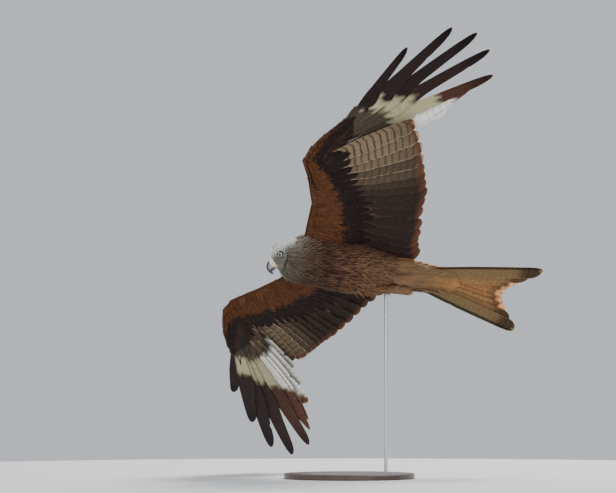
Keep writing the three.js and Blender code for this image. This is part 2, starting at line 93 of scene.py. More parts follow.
camera_data = bpy.data.cameras.new("camera")
camera_data.lens, camera_data.sensor_width, camera_data.clip_end = LENS_MM, SENSOR_MM, FAR_M
camera = bpy.data.objects.new("camera", camera_data)
bpy.context.scene.collection.objects.link(camera)
camera.location = CAMERA_AT
camera.rotation_euler = (np.pi / 2, 0, 0)
bpy.context.scene.camera = camera

angle = np.linspace(0, 2 * np.pi, FLOOR_CORNERS, endpoint=False)
edge = np.c_[FLOOR_RADIUS * np.cos(angle), FLOOR_RADIUS * np.sin(angle), 0 * angle + FLOOR_AT]
disc = bpy.data.meshes.new("floor")
disc.from_pydata(edge.tolist(), [], [list(range(FLOOR_CORNERS))])
paper = bpy.data.materials.new("floor_paper")
paper.use_nodes = True
paper.node_tree.nodes["Principled BSDF"].inputs["Base Color"].default_value = FLOOR_COLOUR
paper.node_tree.nodes["Principled BSDF"].inputs["Roughness"].default_value = 0.9
disc.materials.append(paper)
floor = bpy.data.objects.new("floor", disc)
bpy.context.scene.collection.objects.link(floor)
print("camera at", tuple(round(c, 3) for c in camera.location))

# %% [markdown]
# The bird is lit from behind and above, so its crown and wing edges have bright rims while
# its underside is in open shade. A sun lamp would give hard shadows, which a studio doesn't
# have, so three large soft lights do it: a strong one behind, a broad one in front, and a
# weak one low down that opens the shade under the wings.

# %% Light
AIR_COLOUR, AIR_STRENGTH = (0.80, 0.84, 0.9, 1), 0.75
LIT_POINT = np.array([0, 0, 0.5])

world = bpy.data.worlds.new("studio")
bpy.context.scene.world = world
world.use_nodes = True
world.node_tree.nodes["Background"].inputs[0].default_value = AIR_COLOUR
world.node_tree.nodes["Background"].inputs[1].default_value = AIR_STRENGTH


def soft_light(name, at, size, watts, colour):
    """A square area light that faces the bird."""
    data = bpy.data.lights.new(name, "AREA")
    data.size, data.energy, data.color = size, watts, colour
    light = bpy.data.objects.new(name, data)
    light.location = at
    aim = LIT_POINT - at
    light.rotation_euler = (np.arctan2(np.hypot(aim[0], aim[1]), -aim[2]), 0,
                            np.arctan2(-aim[0], aim[1]))
    bpy.context.scene.collection.objects.link(light)


soft_light("rim_light", (1.2, 1.6, 3.4), 1.6, 185, (1.0, 0.96, 0.9))
soft_light("front_light", (-2.2, -3.2, 2.0), 2.4, 80, (1.0, 0.98, 0.95))
soft_light("low_light", (1.4, -2.6, 0.25), 1.8, 22, (0.93, 0.96, 1.0))
print("lights:", len(bpy.data.lights))

# %% [markdown]
# Thousands of feathers are too many to place by hand, and a particle system can't give each
# one its own streak and rim. So meshes are written as whole arrays. A surface is a grid of
# points, a function of two parameters, and feathers are one small closed shell repeated with
# other sizes, so all feathers of a tract are one array of shape (feathers, points, 3).

# %% From arrays to a piece
def piece(name, points, polygons, material, replaces=(), corners=(), attributes=None,
          sharp=0):
    """Mesh object from world points (n, 3) and a list of polygon arrays (faces, corners).
    corners holds one (faces, corners, 2) array per polygon array, for the UV map OFBake.
    attributes maps a name to (kind, values per point). Edges over sharp degrees stay hard,
    and none where sharp is 0."""
    mesh = bpy.data.meshes.new(name)
    mesh.vertices.add(len(points))
    mesh.vertices.foreach_set("co", points.astype(np.float32).ravel())
    loops = np.concatenate([p.ravel() for p in polygons]).astype(np.int32)
    sizes = np.concatenate([np.full(len(p), p.shape[1]) for p in polygons])
    mesh.loops.add(len(loops))
    mesh.loops.foreach_set("vertex_index", loops)
    mesh.polygons.add(len(sizes))
    mesh.polygons.foreach_set("loop_start", (np.cumsum(sizes) - sizes).astype(np.int32))
    mesh.update(calc_edges=True)
    if len(corners):
        uv = np.concatenate([c.reshape(-1, 2) for c in corners]).astype(np.float32)
        mesh.uv_layers.new(name="OFBake").data.foreach_set("uv", uv.ravel())
    for key, (kind, values) in (attributes or {}).items():
        field = {"FLOAT": "value", "FLOAT_VECTOR": "vector", "FLOAT_COLOR": "color"}[kind]
        mesh.attributes.new(key, kind, "POINT").data.foreach_set(
            field, values.astype(np.float32).ravel())
    mesh.polygons.foreach_set("use_smooth", np.ones(len(sizes), bool))
    if sharp:
        mesh.set_sharp_from_angle(angle=np.radians(sharp))
    mesh.materials.append(material)
    thing = bpy.data.objects.new(name, mesh)
    bpy.context.scene.collection.objects.link(thing)
    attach(thing, "root")
    if replaces:
        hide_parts(*replaces)
    print(f"{name}: {len(points)} points, {len(sizes)} faces")
    return thing


# %% Grids, tubes and curves
def grid_faces(rows, cols, around=False):
    """Quads of a grid whose point (r, c) has number r * cols + c; around closes c."""
    r, c = np.meshgrid(np.arange(rows - 1), np.arange(cols if around else cols - 1), indexing="ij")
    a, b = r * cols + c, r * cols + (c + 1) % cols
    return np.stack([a, b, b + cols, a + cols], -1).reshape(-1, 4)


def capped(rows, cols, start=0):
    """Closed tube: the quads of a grid that goes round, and one polygon at each end."""
    ring = np.arange(cols)
    return [grid_faces(rows, cols, True) + start, ring[None, ::-1] + start,
            ring[None] + (rows - 1) * cols + start]


def rings(low, high, rows, cols):
    """Grid of one parameter from low to high by the angle round each ring, 0 to 2 pi."""
    return np.meshgrid(np.linspace(low, high, rows),
                       np.linspace(0, 2 * np.pi, cols, endpoint=False), indexing="ij")


def joined(tubes):
    """Several closed tubes (rows, cols, 3) as one array of points and one list of polygons."""
    points, polygons, start = [], [], 0
    for tube in tubes:
        rows, cols = tube.shape[:2]
        points.append(tube.reshape(-1, 3))
        polygons += capped(rows, cols, start)
        start += rows * cols
    return np.concatenate(points), polygons


def between(a, b, t):
    """a (1 - t) + b t: numbers or colours from a at t = 0 to b at t = 1."""
    return np.asarray(a) * (1 - t) + np.asarray(b) * t


def ramp(x, low, high):
    """0 below low, 1 above high, and a straight line between them."""
    return np.clip((x - low) / (high - low), 0, 1)


def through(knots, x):
    """Smooth curve through knots [[x, a, b, ...], ...] at x: a Catmull-Rom spline,
    p = ((2 p1) + (p2 - p0) t + (2 p0 - 5 p1 + 4 p2 - p3) t^2 + (3 p1 - p0 - 3 p2 + p3) t^3) / 2."""
    k = np.array(knots, float)
    k = k[np.argsort(k[:, 0])]
    x = np.clip(x, k[0, 0], k[-1, 0])
    i = np.clip(np.searchsorted(k[:, 0], x, side="right") - 1, 0, len(k) - 2)
    t = ((x - k[i, 0]) / (k[i + 1, 0] - k[i, 0]))[..., None]
    p0, p1 = k[np.maximum(i - 1, 0), 1:], k[i, 1:]
    p2, p3 = k[i + 1, 1:], k[np.minimum(i + 2, len(k) - 1), 1:]
    return ((2 * p1) + (p2 - p0) * t + (2 * p0 - 5 * p1 + 4 * p2 - p3) * t ** 2
            + (3 * p1 - p0 - 3 * p2 + p3) * t ** 3) / 2


print("faces of a closed tube of 4 rings of 6:", sum(len(p) for p in capped(4, 6)))

# %% [markdown]
# A finish is a small program of nodes. It can be wired by hand in the editor, but a formula
# is easier to read and to change as text. The class below wraps a socket, so that shader
# maths reads as an ordinary expression, and one method makes every other node.

# %% Shader maths
class Value:
    """A socket of a finish; + - * / on it, with numbers or other values, add Math nodes."""

    def __init__(self, finish, socket):
        self.finish, self.socket = finish, socket

    def __add__(self, other):
        return self.finish.math("ADD", self, other)

    def __radd__(self, other):
        return self.finish.math("ADD", other, self)

    def __sub__(self, other):
        return self.finish.math("SUBTRACT", self, other)

    def __rsub__(self, other):
        return self.finish.math("SUBTRACT", other, self)

    def __mul__(self, other):
        return self.finish.math("MULTIPLY", self, other)

    def __rmul__(self, other):
        return self.finish.math("MULTIPLY", other, self)

    def __truediv__(self, other):
        return self.finish.math("DIVIDE", self, other)

    def __rtruediv__(self, other):
        return self.finish.math("DIVIDE", other, self)

    def __abs__(self):
        return self.finish.math("ABSOLUTE", self)

    def sin(self):
        """Sine of the value in radians."""
        return self.finish.math("SINE", self)


# %% Finishes
class Finish:
    """A material with one Principled shader and the methods that build its nodes."""

    def __init__(self, name, **constants):
        self.material = bpy.data.materials.new(name)
        self.material.use_nodes = True
        self.tree = self.material.node_tree
        self.shader = self.tree.nodes["Principled BSDF"]
        for key, value in constants.items():
            self.shader.inputs[key.replace("_", " ")].default_value = value

    def node(self, kind, settings=None, values=None, out=0):
        """A node of that kind: its settings are set first, then its sockets' values or links."""
        made = self.tree.nodes.new(kind)
        for key, value in (settings or {}).items():
            setattr(made, key, value)
        for key, value in (values or {}).items():
            if isinstance(value, Value):
                self.tree.links.new(value.socket, made.inputs[key])
            else:
                made.inputs[key].default_value = value
        return Value(self, made.outputs[out])

    def math(self, operation, *terms):
        """One Math node on numbers or values."""
        return self.node("ShaderNodeMath", {"operation": operation}, dict(enumerate(terms)))

    def step(self, x, low, high):
        """0 below low, 1 above high, 3 t^2 - 2 t^3 between them."""
        return self.node("ShaderNodeMapRange", {"interpolation_type": "SMOOTHSTEP"},
                         {"Value": x, "From Min": low, "From Max": high})

    def mix(self, factor, a, b, blend="MIX"):
        """Colour a with colour b over it by factor."""
        a, b = ((*c, 1) if isinstance(c, tuple) else c for c in (a, b))
        return self.node("ShaderNodeMix", {"data_type": "RGBA", "blend_type": blend},
                         {0: factor, 6: a, 7: b}, 2)

    def noise(self, vector, scale, detail):
        """Cloudy noise from 0 to 1, about 0.5."""
        return self.node("ShaderNodeTexNoise", None,
                         {"Vector": vector, "Scale": scale, "Detail": detail})

    def place(self):
        """Object coordinates, in metres."""
        return self.node("ShaderNodeTexCoord", None, None, 3)

    def attribute(self, name, out=1):
        """A piece's own attribute; out: 0 colour, 1 vector, 2 number, 3 alpha."""
        return self.node("ShaderNodeAttribute", {"attribute_name": name}, None, out)

    def parts(self, vector):
        """The three numbers of a vector."""
        one = self.node("ShaderNodeSeparateXYZ", None, {0: vector})
        return [Value(self, one.socket.node.outputs[k]) for k in range(3)]

    def vector(self, x, y, z):
        """A vector from three numbers."""
        return self.node("ShaderNodeCombineXYZ", None, {0: x, 1: y, 2: z})

    def bump(self, height, strength, distance):
        """Normal of a surface raised by height, distance in metres."""
        return self.node("ShaderNodeBump", None,
                         {"Height": height, "Strength": strength, "Distance": distance})

    def feed(self, **links):
        """Links values to the shader's sockets and returns the finished material."""
        for key, value in links.items():
            self.tree.links.new(value.socket, self.shader.inputs[key.replace("_", " ")])
        return self.material


print("methods of a finish:", [name for name in vars(Finish) if not name.startswith("_")])

# %% [markdown]
# Plumage is one finish with four sets of constants. An image of a feather would look alike
# on every feather, so each one carries its own ground colour, shaft streak or bars, and rim
# as attributes, and the pattern is drawn per feather as on the real bird: a dark streak along
# the shaft, bars across the vane, a pale or rufous rim, and fine slanting barbs.

# %% Plumage
def plumage(name, pitch, barb, rough):
    """vane = (u, v, s): u across from -1 to 1, v along from 0 to 1, s metres along.
    streak = step(width - |u|); bars = step(sin(2 pi (s / pitch + 0.4 |u| + draw)));
    rim = step(max(|u|, tip) + width - 1); barbs = sin(2 pi (1000 s + 9 |u|) / barb).
    pitch is the bars' in metres, barb the barbs' in millimetres, draw a number of its own."""
    f = Finish(name, Roughness=rough, Specular_IOR_Level=0.10, Sheen_Weight=0.015)
    u, v, s = f.parts(f.attribute("vane"))
    draw = f.attribute("draw", 2)
    across = abs(u)
    own = f.vector(u * 2 + draw * 31, s * 150, draw * 57)
    cloud = f.noise(own, 1.0, 3.0) - 0.5
    streak = f.step(f.attribute("mark", 3) - across + cloud * 0.25, 0.0, 0.16)
    bar_wave = ((s / pitch + across * 0.4 + draw + cloud * 0.35) * (2 * np.pi)).sin()
    bars = f.step(bar_wave, 0.25, 0.95) * f.attribute("coat", 3)
    tip = f.step(v, 0.80, 1.0)
    rim_at = f.math("MAXIMUM", across, tip)
    rim = f.step(rim_at + f.attribute("rim", 3) + cloud * 0.12, 0.97, 1.06)
    barbs = ((s * 1000 + across * 9.0) * (2 * np.pi / barb) + draw * 40).sin()
    shade = 1.0 + cloud * 0.5 + barbs * 0.05 + (draw - 0.5) * 0.34
    ground = f.mix(f.math("MAXIMUM", streak, bars), f.attribute("coat", 0), f.attribute("mark", 0))
    ground = f.mix(rim, ground, f.attribute("rim", 0))
    tone = f.vector(shade, shade, shade)
    return f.feed(Base_Color=f.mix(1.0, ground, tone, "MULTIPLY"),
                  Normal=f.bump(barbs * 0.35 + cloud, 0.35, 0.0006))


HEAD_PLUMAGE = plumage("head_plumage", pitch=0.02, barb=0.7, rough=0.8)
BODY_PLUMAGE = plumage("body_plumage", pitch=0.02, barb=1.0, rough=0.8)
WING_PLUMAGE = plumage("wing_plumage", pitch=0.0165, barb=1.3, rough=0.62)
TAIL_PLUMAGE = plumage("tail_plumage", pitch=0.014, barb=1.3, rough=0.6)
print("nodes of the wing's plumage:", len(WING_PLUMAGE.node_tree.nodes))

# %% [markdown]
# A feather is a thin closed shell: a flat card would have no thickness for the export, and
# single barbs would be millions of faces. The small ones of the body are cambered above and
# close straight across below, six rings of four points. The flight feathers have two full
# faces with a raised shaft, wide on one side of it and narrow on the other.

# %% Feather shells
SMALL_U, SMALL_V = np.array([-1, -0.35, 0.35, 1.0]), np.array([0, 0.2, 0.45, 0.7, 0.88, 1.0])
TINY_U, TINY_V = np.array([-1, 0, 1.0]), np.array([0, 0.35, 0.72, 1.0])
FLIGHT_U = np.array([-1, -0.72, -0.42, -0.16, -0.05, 0.05, 0.16, 0.55, 1.0])
FLIGHT_V = 1 - (1 - np.linspace(0, 1, 38)) ** 1.25
# Shares of the half width: round and lance shaped at SMALL_V, a hackle's at TINY_V.
ROUND = np.array([0.35, 0.82, 1.0, 0.94, 0.66, 0.12])
LANCE = np.array([0.35, 0.95, 0.92, 0.62, 0.30, 0.05])
HACKLE = np.array([0.45, 1.0, 0.66, 0.06])


def lens(v, u):
    """Closed shell of rings: polygons, corner UVs in a unit square, and for each point u, v
    and a face of 0, because upper and lower side share their points."""
    rows, cols = len(v), len(u)
    top = grid_faces(rows, cols)
    r = np.arange(rows - 1)[:, None] * cols
    under = r + np.array([cols - 1, 0, cols, 2 * cols - 1])
    ends = [np.arange(cols)[None, ::-1], np.arange(cols)[None] + (rows - 1) * cols]
    uu, vv = np.tile(u, rows), np.repeat(v, cols)
    at = np.c_[(uu + 1) / 2 * 0.86, vv]
    low = np.stack([np.tile([0.9, 1.0, 1.0, 0.9], (rows - 1, 1)), vv[under]], -1)
    caps = [np.stack([np.full(e.shape, 0.88), vv[e]], -1) for e in ends]
    return [top, under, *ends], [at[top], low, *caps], uu, vv, np.zeros(len(uu))


def blade(v, u):
    """Closed shell with two full faces: the upper grid, then the lower one. Its last array
    is 1 for the points of the upper face and -1 for those of the lower one."""
    rows, cols = len(v), len(u)
    n = rows * cols
    top = grid_faces(rows, cols)
    r, c = np.arange(rows - 1)[:, None] * cols, np.arange(cols - 1)[:, None]
    last, end = cols - 1, (rows - 1) * cols
    walls = np.concatenate([r + [0, cols, n + cols, n],
                            r + [last + cols, last, n + last, n + last + cols],
                            c + [1, 0, n, n + 1], c + [end, end + 1, n + end + 1, n + end]])
    uu, vv = np.tile(np.tile(u, rows), 2), np.tile(np.repeat(v, cols), 2)
    face = np.repeat([1.0, -1.0], n)
    at = np.c_[(uu + 1) / 4 * 0.94 + np.where(face > 0, 0.01, 0.51), vv * 0.96 + 0.02]
    low = top[:, ::-1] + n
    return [top, low, walls], [at[top], at[low], at[walls]], uu, vv, face


SMALL, TINY, FLIGHT = lens(SMALL_V, SMALL_U), lens(TINY_V, TINY_U), blade(FLIGHT_V, FLIGHT_U)
print("points per feather: small", len(SMALL[2]), "tiny", len(TINY[2]), "flight", len(FLIGHT[2]))


# %% A tract of feathers
SHAFT_WIDTH, SHAFT_LIFT, VANE_LIFT = 0.09, 0.75, 0.22


def feathers(form, root, aim, up, length, lead, trail, coat, mark, rim, seat, outer=None,
             camber=0.25, curl=0.0, bend=0.0, thick=0.5, patch=0.003):
    """All feathers of one row or tract: point = root + aim L v + right u w(v)
    + up (thickness - camber w u^2 + curl L v^2) + outer bend L (v - v^2), in the bird's mm.
    lead and trail are half widths on either side of the shaft, (n, rows of the form).
    coat, mark and rim are colours; their alpha is bars, streak's width and rim's width.
    seat and patch are the lower corner and the size of each feather's place in the UV map."""
    polygons, corners, uu, vv, face = form
    rows = np.unique(vv, return_inverse=True)[1]
    n = len(root)
    aim = unit(aim)
    up = unit(up - aim * (up * aim).sum(-1, keepdims=True))
    right = np.cross(aim, up)
    outer = right if outer is None else outer
    sign = np.sign((outer * right).sum(-1, keepdims=True) + 1e-9)
    length = np.broadcast_to(np.asarray(length, float), n)[:, None]
    lead, trail = (np.broadcast_to(w, (n, rows.max() + 1))[:, rows] for w in (lead, trail))
    toward = uu[None] * sign
    wide = np.where(toward > 0, lead, trail)
    shaft = np.exp(-(uu / SHAFT_WIDTH) ** 2) * (1 - 0.8 * vv)
    if face.any():
        lift = face * (VANE_LIFT + SHAFT_LIFT * shaft * np.minimum(1, length / 200)) * thick * 2
    else:
        lift = thick * (1 - uu ** 2) - 0.5 * thick
    height = lift - camber * wide * uu ** 2 + curl * length * vv ** 2
    slide = bend * length * (vv - vv ** 2)
    points = (root[:, None] + aim[:, None] * (length * vv)[..., None]
              + right[:, None] * (uu * wide)[..., None] + up[:, None] * height[..., None]
              + outer[:, None] * slide[..., None])
    colours = {}
    for key, value in (("coat", coat), ("mark", mark), ("rim", rim)):
        value = np.asarray(value, float)
        value = value[:, None] if value.ndim == 2 else value
        colours[key] = np.broadcast_to(value, (n, len(uu), 4)).reshape(-1, 4)
    return {"points": points.reshape(-1, 3), "polygons": polygons, "corners": corners, "n": n,
            "seat": seat, "patch": patch,
            "vane": np.stack([toward, np.broadcast_to(vv, toward.shape), length * vv / 1000],
                             -1).reshape(-1, 3),
            "draw": np.repeat(rng.random(n), len(uu)), **colours}


# %% Coat pieces
COAT_FIELDS = {"coat": "FLOAT_COLOR", "mark": "FLOAT_COLOR", "rim": "FLOAT_COLOR",
               "vane": "FLOAT_VECTOR", "draw": "FLOAT"}


def coat_piece(name, tracts, material, replaces=()):
    """One piece from several tracts of feathers."""
    points, polygons, corners, start = [], [], [], 0
    for t in tracts:
        each = len(t["points"]) // t["n"]
        base = start + np.arange(t["n"]) * each
        for faces, uv in zip(t["polygons"], t["corners"]):
            polygons.append((faces[None] + base[:, None, None]).reshape(-1, faces.shape[1]))
            at = np.asarray(t["seat"])[:, None, None, :] + uv[None] * t["patch"]
            corners.append(at.reshape(-1, faces.shape[1], 2))
        points.append(t["points"])
        start += len(t["points"])
    fields = {key: (kind, np.concatenate([t[key] for t in tracts])) for key, kind in COAT_FIELDS.items()}
    piece(name, to_world(np.concatenate(points)), polygons, material, replaces, corners,
          fields, sharp=50)


def cells(n, across):
    """Seats of n large feathers, that many across, and their patch."""
    k = np.arange(n)
    return np.c_[k % across, k // across] / across, 0.96 / across


def seats(a, x, low, high):
    """Seats of small feathers by the angle round the form and the share from low to high."""
    return np.c_[a / 2 / np.pi % 1, (x - low) / (high - low)] * 0.99


print("fields of a coat:", list(COAT_FIELDS))

# %% [markdown]
# The body under the feathers is an egg that tapers into neck and tail root, and the head is
# a smaller egg with a heavy brow. They could be sculpted, but feathers have to be laid on
# them by formula, so both are formulas: the sections are the solids' own ellipses, run
# through a smooth spline.

# %% Body and head form
# Rows of BODY: x, half width, half height, middle in z and in y. Rows of HEAD: the same
# without y, in the head's axes.
BODY = [[159, 23, 24, 11, -3], [152, 35.5, 35, 9, -4], [143, 43.5, 43, 7, -4.5],
        [130, 51, 50, 6, -3], [116, 56, 55, 6, -1], [100, 59, 58, 4, 0.5], [84, 58, 57, 2, 0],
        [62, 60, 58, 1, 0], [30, 61, 60, -1, 0], [-5, 61, 60, -2, 0], [-45, 57, 54, -3, 0],
        [-85, 49, 43, -4, 0], [-118, 39, 31, -5, 0], [-140, 34, 22, -6, 0], [-165, 30, 14, -7, 0],
        [-190, 26, 9.5, -7, 0], [-212, 21, 6.5, -7, 0]]
HEAD = [[-36, 17, 17, -4], [-28, 23, 22.5, -3.5], [-16, 26, 26, -2.5], [-3, 26.5, 27, -1],
        [9, 24.5, 26.5, 0], [18, 19.5, 23, -1], [25, 14.5, 18.5, -3.2], [29, 10.5, 14.2, -5.2]]
EYE_AT, EYE_RADIUS = np.array([5.5, 18.2, 5.0]), 8.2
BROW_HIGH, SOCKET_DEEP = 2.6, 1.6


def body_at(x, a, sink=0.0):
    """Body surface: (x, y0 + w cos a, z0 + h sin a), shrunk by sink."""
    w, h, z, y = np.moveaxis(through(BODY, x), -1, 0)
    return np.stack([x + 0 * a, y + (w - sink) * np.cos(a), z + (h - sink) * np.sin(a)], -1)


def head_at(x, a, sink=0.0):
    """Head surface in the head's axes, with a raised brow over a shallow eye socket, a in
    degrees: ellipse + 2.6 exp(-((x - 8.5) / 9)^2 - ((a - 34) / 9)^2)
    - 1.6 exp(-((x - 5.5) / 7)^2 - ((a - 12) / 15)^2)."""
    w, h, z = np.moveaxis(through(HEAD, x), -1, 0)
    side = np.degrees(np.arcsin(np.clip(np.sin(a), -1, 1)))
    swell = BROW_HIGH * np.exp(-((x - 8.5) / 9) ** 2 - ((side - 34) / 9) ** 2)
    swell = swell - SOCKET_DEEP * np.exp(-((x - 5.5) / 7) ** 2 - ((side - 12) / 15) ** 2)
    w, h = w - sink + swell, h - sink + swell
    return np.stack([x + 0 * a, w * np.cos(a), z + h * np.sin(a)], -1)


def facing(surface, x, a):
    """Outward normal of surface(x, a) from two differences, and the way back along x."""
    back = surface(x - 0.5, a) - surface(x + 0.5, a)
    round_it = surface(x, a + 0.01) - surface(x, a - 0.01)
    return unit(np.cross(back, round_it)), unit(back)


x, a = rings(-35.5, 29, 40, 48)
outward = (facing(head_at, x, a)[0] * head_at(x, a)).sum(-1) > 0
print("share of head normals that face out:", round(float(outward.mean()), 2))

# %% [markdown]
# A wing could be one bent sheet with feathers painted on, but its edge is made by the
# feathers themselves. So quills are placed as the bones carry them: ten primaries on the
# hand, ten secondaries on the forearm and five tertials on the upper arm. The flesh runs
# from the leading edge to the line of the quills, and every covert is laid between the
# quills it lies over. The two wings differ, because the bird is in a turn.

# %% Wing measures
# lead and rear are the flesh's edge lines from the body out, and edge is the line of the
# inner wing's feather tips, outermost first. plane tilts the hand forward and outward.
# finger gives a free primary's half widths; length, sweep and rise are the primaries'
# lengths in mm and angles in degrees. window is the colour of the pale field, white its end
# on each primary, and cover the reach of the greater coverts below.
WING = {
    "left": dict(
        side=1, shoulder=(68, 38, 22), elbow=(51, 155, 33), wrist=(158, 235, 50), sweep_hand=55,
        plane=(0.191, 0.388),
        lead=[(106, 20, 24), (113, 80, 29), (118, 137, 36), (147, 202, 46), (171, 240, 51)],
        rear=[(-45, 20, 14), (0, 85, 20), (32, 155, 31), (92, 208, 41), (143, 252, 51)],
        finger=[[0, 1.5, 1.5], [0.12, 6, 17], [0.44, 10, 31], [0.58, 8, 19], [0.9, 6.5, 13],
                [1, 4, 6]],
        length=[260, 289, 318, 336, 358, 408, 416, 402, 356, 244],
        sweep=[34.5, 34.1, 33.3, 33.3, 33.9, 34.7, 41.7, 48, 54.8, 63.6],
        rise=[3.6, 3.4, 3, 3, 3.3, 3.7, 6.6, 9.1, 11.5, 14.7],
        window=(0.37, 0.34, 0.20), cover=[124, 118, 193, 186, 165, 138, 60],
        white=[262, 289, 318, 332, 308, 268, 207, 170, 128, 62],
        edge=[(-52, 393, 48), (-86, 343, 42), (-106, 292, 35), (-120, 258, 30), (-135, 223, 25),
              (-139, 178, 20), (-153, 119, 13), (-153, 88, 9), (-166, 62, 5)]),
    "right": dict(
        side=-1, shoulder=(68, 38, 22), elbow=(79, 155, 38), wrist=(201, 208, 55), sweep_hand=66,
        plane=(0.4, 0.39),
        lead=[(100, 20, 20), (127, 82, 32), (165, 125, 41), (209, 171, 52), (222, 206, 57)],
        rear=[(-45, 20, 14), (10, 85, 22), (60, 158, 36), (135, 196, 48), (182, 228, 56)],
        finger=[[0, 1.5, 1.5], [0.12, 6, 17], [0.58, 10, 31], [0.7, 9, 25], [0.92, 7.5, 17],
                [1, 4, 8]],
        length=[238, 277, 325, 365, 388, 428, 450, 412, 311, 199],
        sweep=[37.2, 38.6, 41, 43.1, 44.3, 47.4, 53.3, 58.3, 62.5, 70.3],
        rise=[0.6, -1.1, -1.2, -1, -0.8, 0.9, 4.2, 6.9, 9.2, 14.5],
        window=(0.38, 0.35, 0.21), cover=[118, 112, 142, 136, 122, 98, 52],
        white=[238, 277, 290, 254, 232, 208, 180, 158, 128, 62],
        edge=[(36, 352, 66), (-10, 320, 57), (-22, 286, 47), (-34, 258, 41), (-55, 226, 36),
              (-78, 174, 28), (-97, 118, 20), (-120, 72, 12)]),
}
# Of the flesh: thickness at its places along the wing, the places' quill numbers, where the
# hand's places are in primaries, and how far its edges stand off the bone there.
FLESH_THICK = np.array([32, 25, 23, 21, 19, 19, 18, 15, 11], float)
FLESH_PLACE = np.array([0, 3.5, 7, 10.5, 14, 17.5, 21, 24, 26.5])
HAND_PLACE, HAND_AHEAD, HAND_BEHIND = np.array([2.5, 6, 9, 11.5]), np.array([24, 25, 21, 12]), 14
PRIMARY_GAP, FIRST_PRIMARY, TERTIAL_ROOT_X = 11, 8, 24
COVERT_REACH_AT = [0, 14, 16, 18, 20, 22, 24.5]        # quills at which coverts' reach is given
print("primaries of the left wing, mm:", WING["left"]["length"])


# %% Quills
def along(points, t):
    """Point at share t of a polyline with evenly counted points."""
    p = np.asarray(points, float)
    k = np.linspace(0, 1, len(p))
    return np.stack([np.interp(t, k, p[:, j]) for j in range(3)], -1)


def quills(w):
    """Roots, directions, normals, leading sides and lengths of 25 quills: 15 of the inner
    wing from the body out, then the ten primaries; and the flesh's two edge lines."""
    s = w["side"]
    flip = np.array([1, s, 1.0])
    wrist, elbow, shoulder = (np.array(w[k]) * flip for k in ("wrist", "elbow", "shoulder"))
    i = np.arange(14, -1, -1)
    outer = wrist + (elbow - wrist) * ((i + 0.6) / 10)[:, None]
    inner = elbow + (shoulder - elbow) * (0.05 + 0.15 * (i - 9.4))[:, None]
    inner[:, 0] = elbow[0] + (TERTIAL_ROOT_X - elbow[0]) * (i - 9) / 5
    root = np.where((i < 10)[:, None], outer, inner)
    tip = along(np.array(w["edge"]) * flip, i / 14)
    a, (front, out) = np.radians(w["sweep_hand"]), w["plane"]
    bone = unit(np.array([-np.cos(a), s * np.sin(a), out * np.sin(a) - front * np.cos(a)]))
    sweep, rise = np.radians(w["sweep"]), np.radians(w["rise"])
    hand_dir = np.stack([-np.cos(sweep) * np.cos(rise), s * np.sin(sweep) * np.cos(rise),
                         np.sin(rise)], -1)
    hand_root = wrist + bone * (FIRST_PRIMARY + PRIMARY_GAP * np.arange(10))[:, None]
    after, before = np.minimum(np.arange(15) + 1, 14), np.maximum(np.arange(15) - 1, 0)
    span = tip[after] - tip[before] + root[after] - root[before]
    aim = np.concatenate([unit(tip - root), hand_dir])
    flat = np.array([-front, -out * s, 1.0])
    up = unit(np.concatenate([-s * np.cross(aim[:15], span),
                              flat - hand_dir * (hand_dir @ flat)[:, None]]))
    root = np.concatenate([root, hand_root])
    length = np.concatenate([np.linalg.norm(tip - root[:15], axis=-1), w["length"]])
    lead_side = unit(-s * np.cross(up, aim))
    forward = unit(lead_side[24] + [1, 0, 0])
    spots = hand_root[0] + bone * (PRIMARY_GAP * HAND_PLACE)[:, None]
    lead = np.concatenate([np.array(w["lead"]) * flip, spots + forward * HAND_AHEAD[:, None]])
    rear = np.concatenate([np.array(w["rear"]) * flip, spots + aim[20] * HAND_BEHIND])
    return dict(side=s, **{key: w[key] for key in ("white", "window", "cover", "finger")},
                root=root, aim=aim, up=up, outer=lead_side, length=length, lead=lead, rear=rear)


QUILLS = {name: quills(w) for name, w in WING.items()}
print("left first primary's root", np.round(QUILLS["left"]["root"][15], 1))


# %% Between the quills, and the flesh round them
def pick(k, places, vectors):
    """Vectors given at some places, read between them at k."""
    return np.stack([np.interp(k, places, vectors[:, j]) for j in range(3)], -1)


def at_quill(q, k):
    """Root, direction, normal and leading side at quill number k, whole or between two."""
    root, aim, up, outer = (pick(k, np.arange(25), q[key]) for key in ("root", "aim", "up", "outer"))
    return root, unit(aim), unit(up), unit(outer)


def flesh(q, k, c, face, sink):
    """Wing surface at quill number k and share c of the chord: the ellipse
    mid + half (1 - 2c) + up * thickness sqrt(c (1 - c)); and its normal."""
    lead, rear = pick(k, FLESH_PLACE, q["lead"]), pick(k, FLESH_PLACE, q["rear"])
    thick = np.interp(k, FLESH_PLACE, FLESH_THICK)
    up = at_quill(q, k)[2]
    cosine, sine = 1 - 2 * c, 2 * np.sqrt(np.clip(c * (1 - c), 0, 1))
    half = (lead - rear) / 2
    reach = np.linalg.norm(half, axis=-1)
    point = ((lead + rear) / 2 + half * cosine[..., None]
             + up * (face * (thick / 2 - sink) * sine)[..., None])
    normal = unit(up * (face * sine / (thick / 2))[..., None]
                  + unit(half) * (cosine / reach)[..., None])
    return point, normal


middle = flesh(QUILLS["right"], np.array([8.0]), np.array([0.5]), -1, 0)[0]
print("middle of the right forearm's lower face", np.round(middle[0], 1))

# %% [markdown]
# One closed skin lies under the whole coat. Its parts, head, body, tail root, thighs and
# the flesh of both wings, are closed tubes that overlap. Joined by a boolean they would keep
# a crease at each seam, so a voxel remesh joins them into one smooth surface. It is a little
# smaller than the solids, by the coat's depth.

# %% Forms of the skin
def ball(at, radii):
    """Ellipsoid at + radii * (cos t, sin t cos a, sin t sin a)."""
    t, a = rings(np.pi - 0.05, 0.05, 14, 20)
    return at + radii * np.stack([np.cos(t), np.sin(t) * np.cos(a), np.sin(t) * np.sin(a)], -1)


